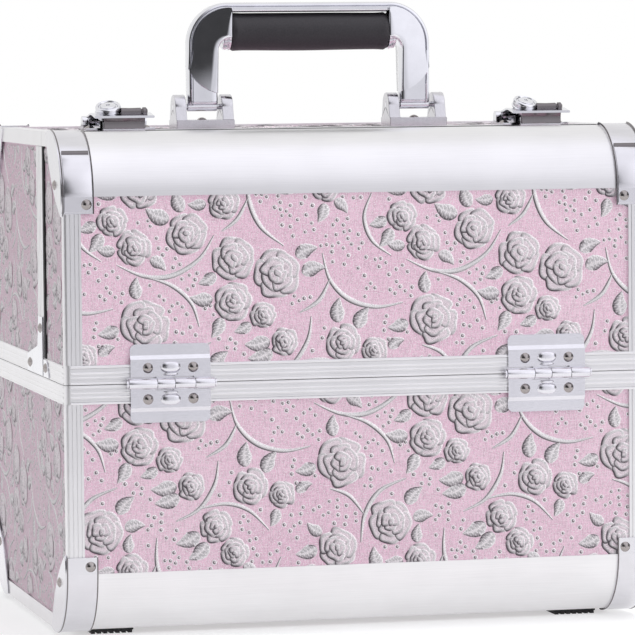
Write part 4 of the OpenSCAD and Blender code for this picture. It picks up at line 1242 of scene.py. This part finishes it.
def add_cap_edges():
    """Rolled edges round the corner caps, and the lip above each lid cap's raised field, in dark chrome that
    paints shade along the caps' edges and at the step above the field.
    """
    for body, up, ends in CAPS:
        low, high = box_mm(f"{body}_corner_caps")
        rise = FIELD_RISE if up > 0 else 0.0
        out_x = high.x - CAP_OVER
        middle_z = (high.z if up > 0 else low.z) - up * CAP_BEND_R
        form = Form()
        for end in ends:
            middle_y = (high.y if end > 0 else low.y) - end * (CAP_BEND_R + rise)

            def at(x, turn, over=0.0):
                out = (0.0, end * math.cos(turn), up * math.sin(turn))
                reach = CAP_BEND_R + over
                return (x, middle_y + out[1] * reach, middle_z + out[2] * reach), out

            for side in (-1, 1):
                for x in (out_x - CAP_W + EDGE_IN, out_x - EDGE_IN):
                    path = [at(side * x, EDGE_TOP * (1.0 - share)) for share in shares(22)]
                    tail, out = path[-1]
                    path.append(((tail[0], tail[1], tail[2] - up * CAP_TAIL), out))
                    form.bead(path, (1, 0, 0), EDGE_BEAD_W, EDGE_BEAD_H + rise, BEAD_SINK, BEAD_STEPS)
                if up > 0:
                    lip = [at(side * (out_x - LIP_IN - (CAP_W - 2 * LIP_IN) * share), FIELD_TOP, rise)
                           for share in shares(8)]
                    fall = (0.0, -end * math.sin(FIELD_TOP), math.cos(FIELD_TOP))
                    form.bead(lip, fall, LIP_W, LIP_H, BEAD_SINK, BEAD_STEPS)
        # The dark chrome paints the shade of the caps' folded edges and of the step above the field
        form.piece(f"{body}_cap_edges", body, "bright_steel", DARK_CHROME_AND_SHADE)


# Raised lines along a seam band: distance from the seam, width and height
BAND_LINES = [(0.85, 1.0, 0.30), (3.9, 0.7, 0.26), (6.0, 1.0, 0.30), (9.1, 1.2, 0.34)]
BAND_CORNER = 3.2
# Bands by body: on which side of the seam, and whether they cover the front and the rear
BANDS = [("base", -1, True, True), ("front_lid", 1, True, False), ("rear_lid", 1, False, True)]


def add_band_lines():
    """Raised lines along the bands of the base and of both lids, on every side that they cover."""
    seam = box_mm("base_seam_band")[1].z
    for body, up, at_front, at_rear in BANDS:
        low, high = box_mm(f"{body}_seam_band")
        x = high.x - BAND_CORNER
        front = low.y + (BAND_CORNER if at_front else 0.0)
        rear = high.y - (BAND_CORNER if at_rear else 0.0)
        runs = [((side * high.x, front), (side * high.x, rear), (side, 0, 0)) for side in (-1, 1)]
        if at_front:
            runs.append(((-x, low.y), (x, low.y), (0, -1, 0)))
        if at_rear:
            runs.append(((-x, high.y), (x, high.y), (0, 1, 0)))
        form = Form()
        for rise, width, height in BAND_LINES:
            z = seam + up * rise
            for start, end, out in runs:
                form.bead([((*start, z), out), ((*end, z), out)], (0, 0, 1), width, height)
        form.piece(f"{body}_band_lines", body, "frame_aluminium", SATIN_X)


# ---- camera, floor and light ----

# The camera's place in metres, its yaw, pitch and roll in degrees, and its lens
CAMERA_AT = (-0.5154, -2.1557, 0.2956)
CAMERA_TURNS = (13.558, 3.650, -0.506)
CAMERA_LENS = 236.03

# The floor's front edge, rear edge and half width in metres, its colour and its own white
FLOOR_FRONT = -0.85
FLOOR_REAR = 3.0
FLOOR_HALF_W = 2.2
FLOOR_TINT = (0.58, 0.58, 0.59)
FLOOR_GLOW = 0.52

# What metal reflects: levels of the studio from below to above, the share of the wall behind from
# front to rear and its level, and the slight coolness of every level
STUDIO_LEVELS = [(0.0, 0.78), (0.46, 0.75), (0.52, 0.78), (0.60, 0.84), (0.80, 0.90), (1.0, 0.92)]
WALL_SHARES = [(0.44, 0.0), (0.62, 1.0)]
WALL_LEVEL = (0.95, 0.95, 0.95)
COOLNESS = 1.01
# Unlit and brighter parts of the studio: azimuth from the front towards +X, elevation, radius and
# softness in degrees, and the level there as a share of the studio's
PATCHES = [(-27.0, 4.0, 29.0, 5.0, 0.07), (-48.0, 42.0, 20.0, 12.0, 0.25), (50.0, 8.0, 27.0, 12.0, 1.42),
           (88.0, 0.0, 30.0, 8.0, 0.12), (0.0, 84.0, 52.0, 24.0, 1.30)]
# Level of the studio's light on matt surfaces, from the far left to the far right
DIFFUSE_LEVELS = [(0.0, 0.14), (0.30, 0.62), (0.6, 1.0), (1.0, 1.15)]

# Lamps: place, width and height in metres, and radiance, where 1 is white
LAMPS = [("overhead", (0.2, -0.3, 1.9), 2.6, 1.6, 0.85), ("right_front", (1.9, -1.7, 0.6), 1.3, 1.6, 1.32)]
LAMP_TARGET = (0.0, 0.0, 0.14)


def make_camera():
    """The photograph's camera, fitted to the edges of the case."""
    yaw, pitch, roll = (math.radians(a) for a in CAMERA_TURNS)
    forward = Vector((math.sin(yaw) * math.cos(pitch), math.cos(yaw) * math.cos(pitch), -math.sin(pitch)))
    right = Vector((math.cos(yaw), -math.sin(yaw), 0.0))
    up = right.cross(forward)
    axes = Matrix((right * math.cos(roll) + up * math.sin(roll), up * math.cos(roll) - right * math.sin(roll),
                   -forward)).transposed()
    data = bpy.data.cameras.new("camera")
    data.sensor_width = 36.0
    data.lens = CAMERA_LENS
    camera = bpy.data.objects.new("camera", data)
    camera.matrix_world = Matrix.Translation(CAMERA_AT) @ axes.to_4x4()
    bpy.context.scene.collection.objects.link(camera)
    bpy.context.scene.camera = camera


def make_floor():
    """A pale floor that keeps the case's shadow and shows as white, also in the metal."""
    mesh = bpy.data.meshes.new("floor")
    corners = [(-FLOOR_HALF_W, FLOOR_FRONT, 0), (FLOOR_HALF_W, FLOOR_FRONT, 0),
               (FLOOR_HALF_W, FLOOR_REAR, 0), (-FLOOR_HALF_W, FLOOR_REAR, 0)]
    mesh.from_pydata(corners, [], [(0, 1, 2, 3)])
    floor = bpy.data.objects.new("floor", mesh)
    bpy.context.scene.collection.objects.link(floor)
    material = bpy.data.materials.new("floor")
    graph = Graph(material)
    diffuse = graph.add("ShaderNodeBsdfDiffuse", {"Color": FLOOR_TINT})
    path = graph.add("ShaderNodeLightPath")
    seen = graph.math("MAXIMUM", path.outputs["Is Camera Ray"], path.outputs["Is Glossy Ray"])
    glow = graph.add("ShaderNodeEmission", {"Strength": graph.math("MULTIPLY", seen, FLOOR_GLOW)})
    total = graph.add("ShaderNodeAddShader", {0: diffuse.outputs[0], 1: glow.outputs[0]})
    graph.add("ShaderNodeOutputMaterial", {"Surface": total.outputs[0]})
    mesh.materials.append(material)


def direction(azimuth, elevation):
    """The direction of a patch's middle."""
    a, e = math.radians(azimuth), math.radians(elevation)
    return math.sin(a) * math.cos(e), -math.cos(a) * math.cos(e), math.sin(e)


def make_world():
    """White for the camera, light that rises from left to right on matt surfaces, a studio for metal."""
    world = bpy.data.worlds.new("studio")
    bpy.context.scene.world = world
    graph = Graph(world)
    toward = graph.add("ShaderNodeTexCoord").outputs["Generated"]
    along_x, along_y, along_z = graph.add("ShaderNodeSeparateXYZ", {0: toward}).outputs

    def levels(along, stops):
        """Levels along a direction, whose -1 to 1 is turned into the stops' 0 to 1."""
        place = graph.math("MULTIPLY_ADD", along, 0.5, 0.5)
        return graph.ramp(place, [(stop, (level, level, level * COOLNESS)) for stop, level in stops])

    studio = levels(along_z, STUDIO_LEVELS)
    for azimuth, elevation, radius, softness, share in PATCHES:
        along = graph.add("ShaderNodeVectorMath", {0: toward, 1: direction(azimuth, elevation)},
                          operation="DOT_PRODUCT").outputs["Value"]
        outer, inner = (0.5 + 0.5 * math.cos(math.radians(radius + by)) for by in (softness, -softness))
        studio = graph.mix("MULTIPLY", 1.0, studio, levels(along, [(outer, 1.0), (inner, share)]))
    studio = graph.mix("MIX", levels(along_y, WALL_SHARES), studio, WALL_LEVEL)
    path = graph.add("ShaderNodeLightPath")
    lit = graph.mix("MIX", path.outputs["Is Glossy Ray"], levels(along_x, DIFFUSE_LEVELS), studio)
    seen = graph.mix("MIX", path.outputs["Is Camera Ray"], lit, (1.0, 1.0, 1.0))
    background = graph.add("ShaderNodeBackground", {"Color": seen})
    graph.add("ShaderNodeOutputWorld", {"Surface": background.outputs[0]})


def make_lamps():
    """Soft rectangular lamps, which metal shows as the studio's soft patches instead."""
    for name, place, width, height, radiance in LAMPS:
        lamp = bpy.data.lights.new(name, "AREA")
        lamp.shape = "RECTANGLE"
        lamp.size = width
        lamp.size_y = height
        lamp.energy = radiance * math.pi * width * height
        holder = bpy.data.objects.new(name, lamp)
        holder.location = place
        holder.rotation_mode = "QUATERNION"
        holder.rotation_quaternion = (Vector(LAMP_TARGET) - Vector(place)).to_track_quat("-Z", "Y")
        holder.visible_glossy = False
        bpy.context.scene.collection.objects.link(holder)


# ---- the scene ----

make_camera()
make_floor()
make_world()
make_lamps()
bpy.context.scene.view_settings.view_transform = "Standard"

dress_cad_nodes()
dress_upright_boards()
dress_side_boards()
dress_top_boards()
add_handle()
add_grip()
add_latch("left", -1)
add_latch("right", 1)
add_bosses()
add_cap_edges()
add_band_lines()
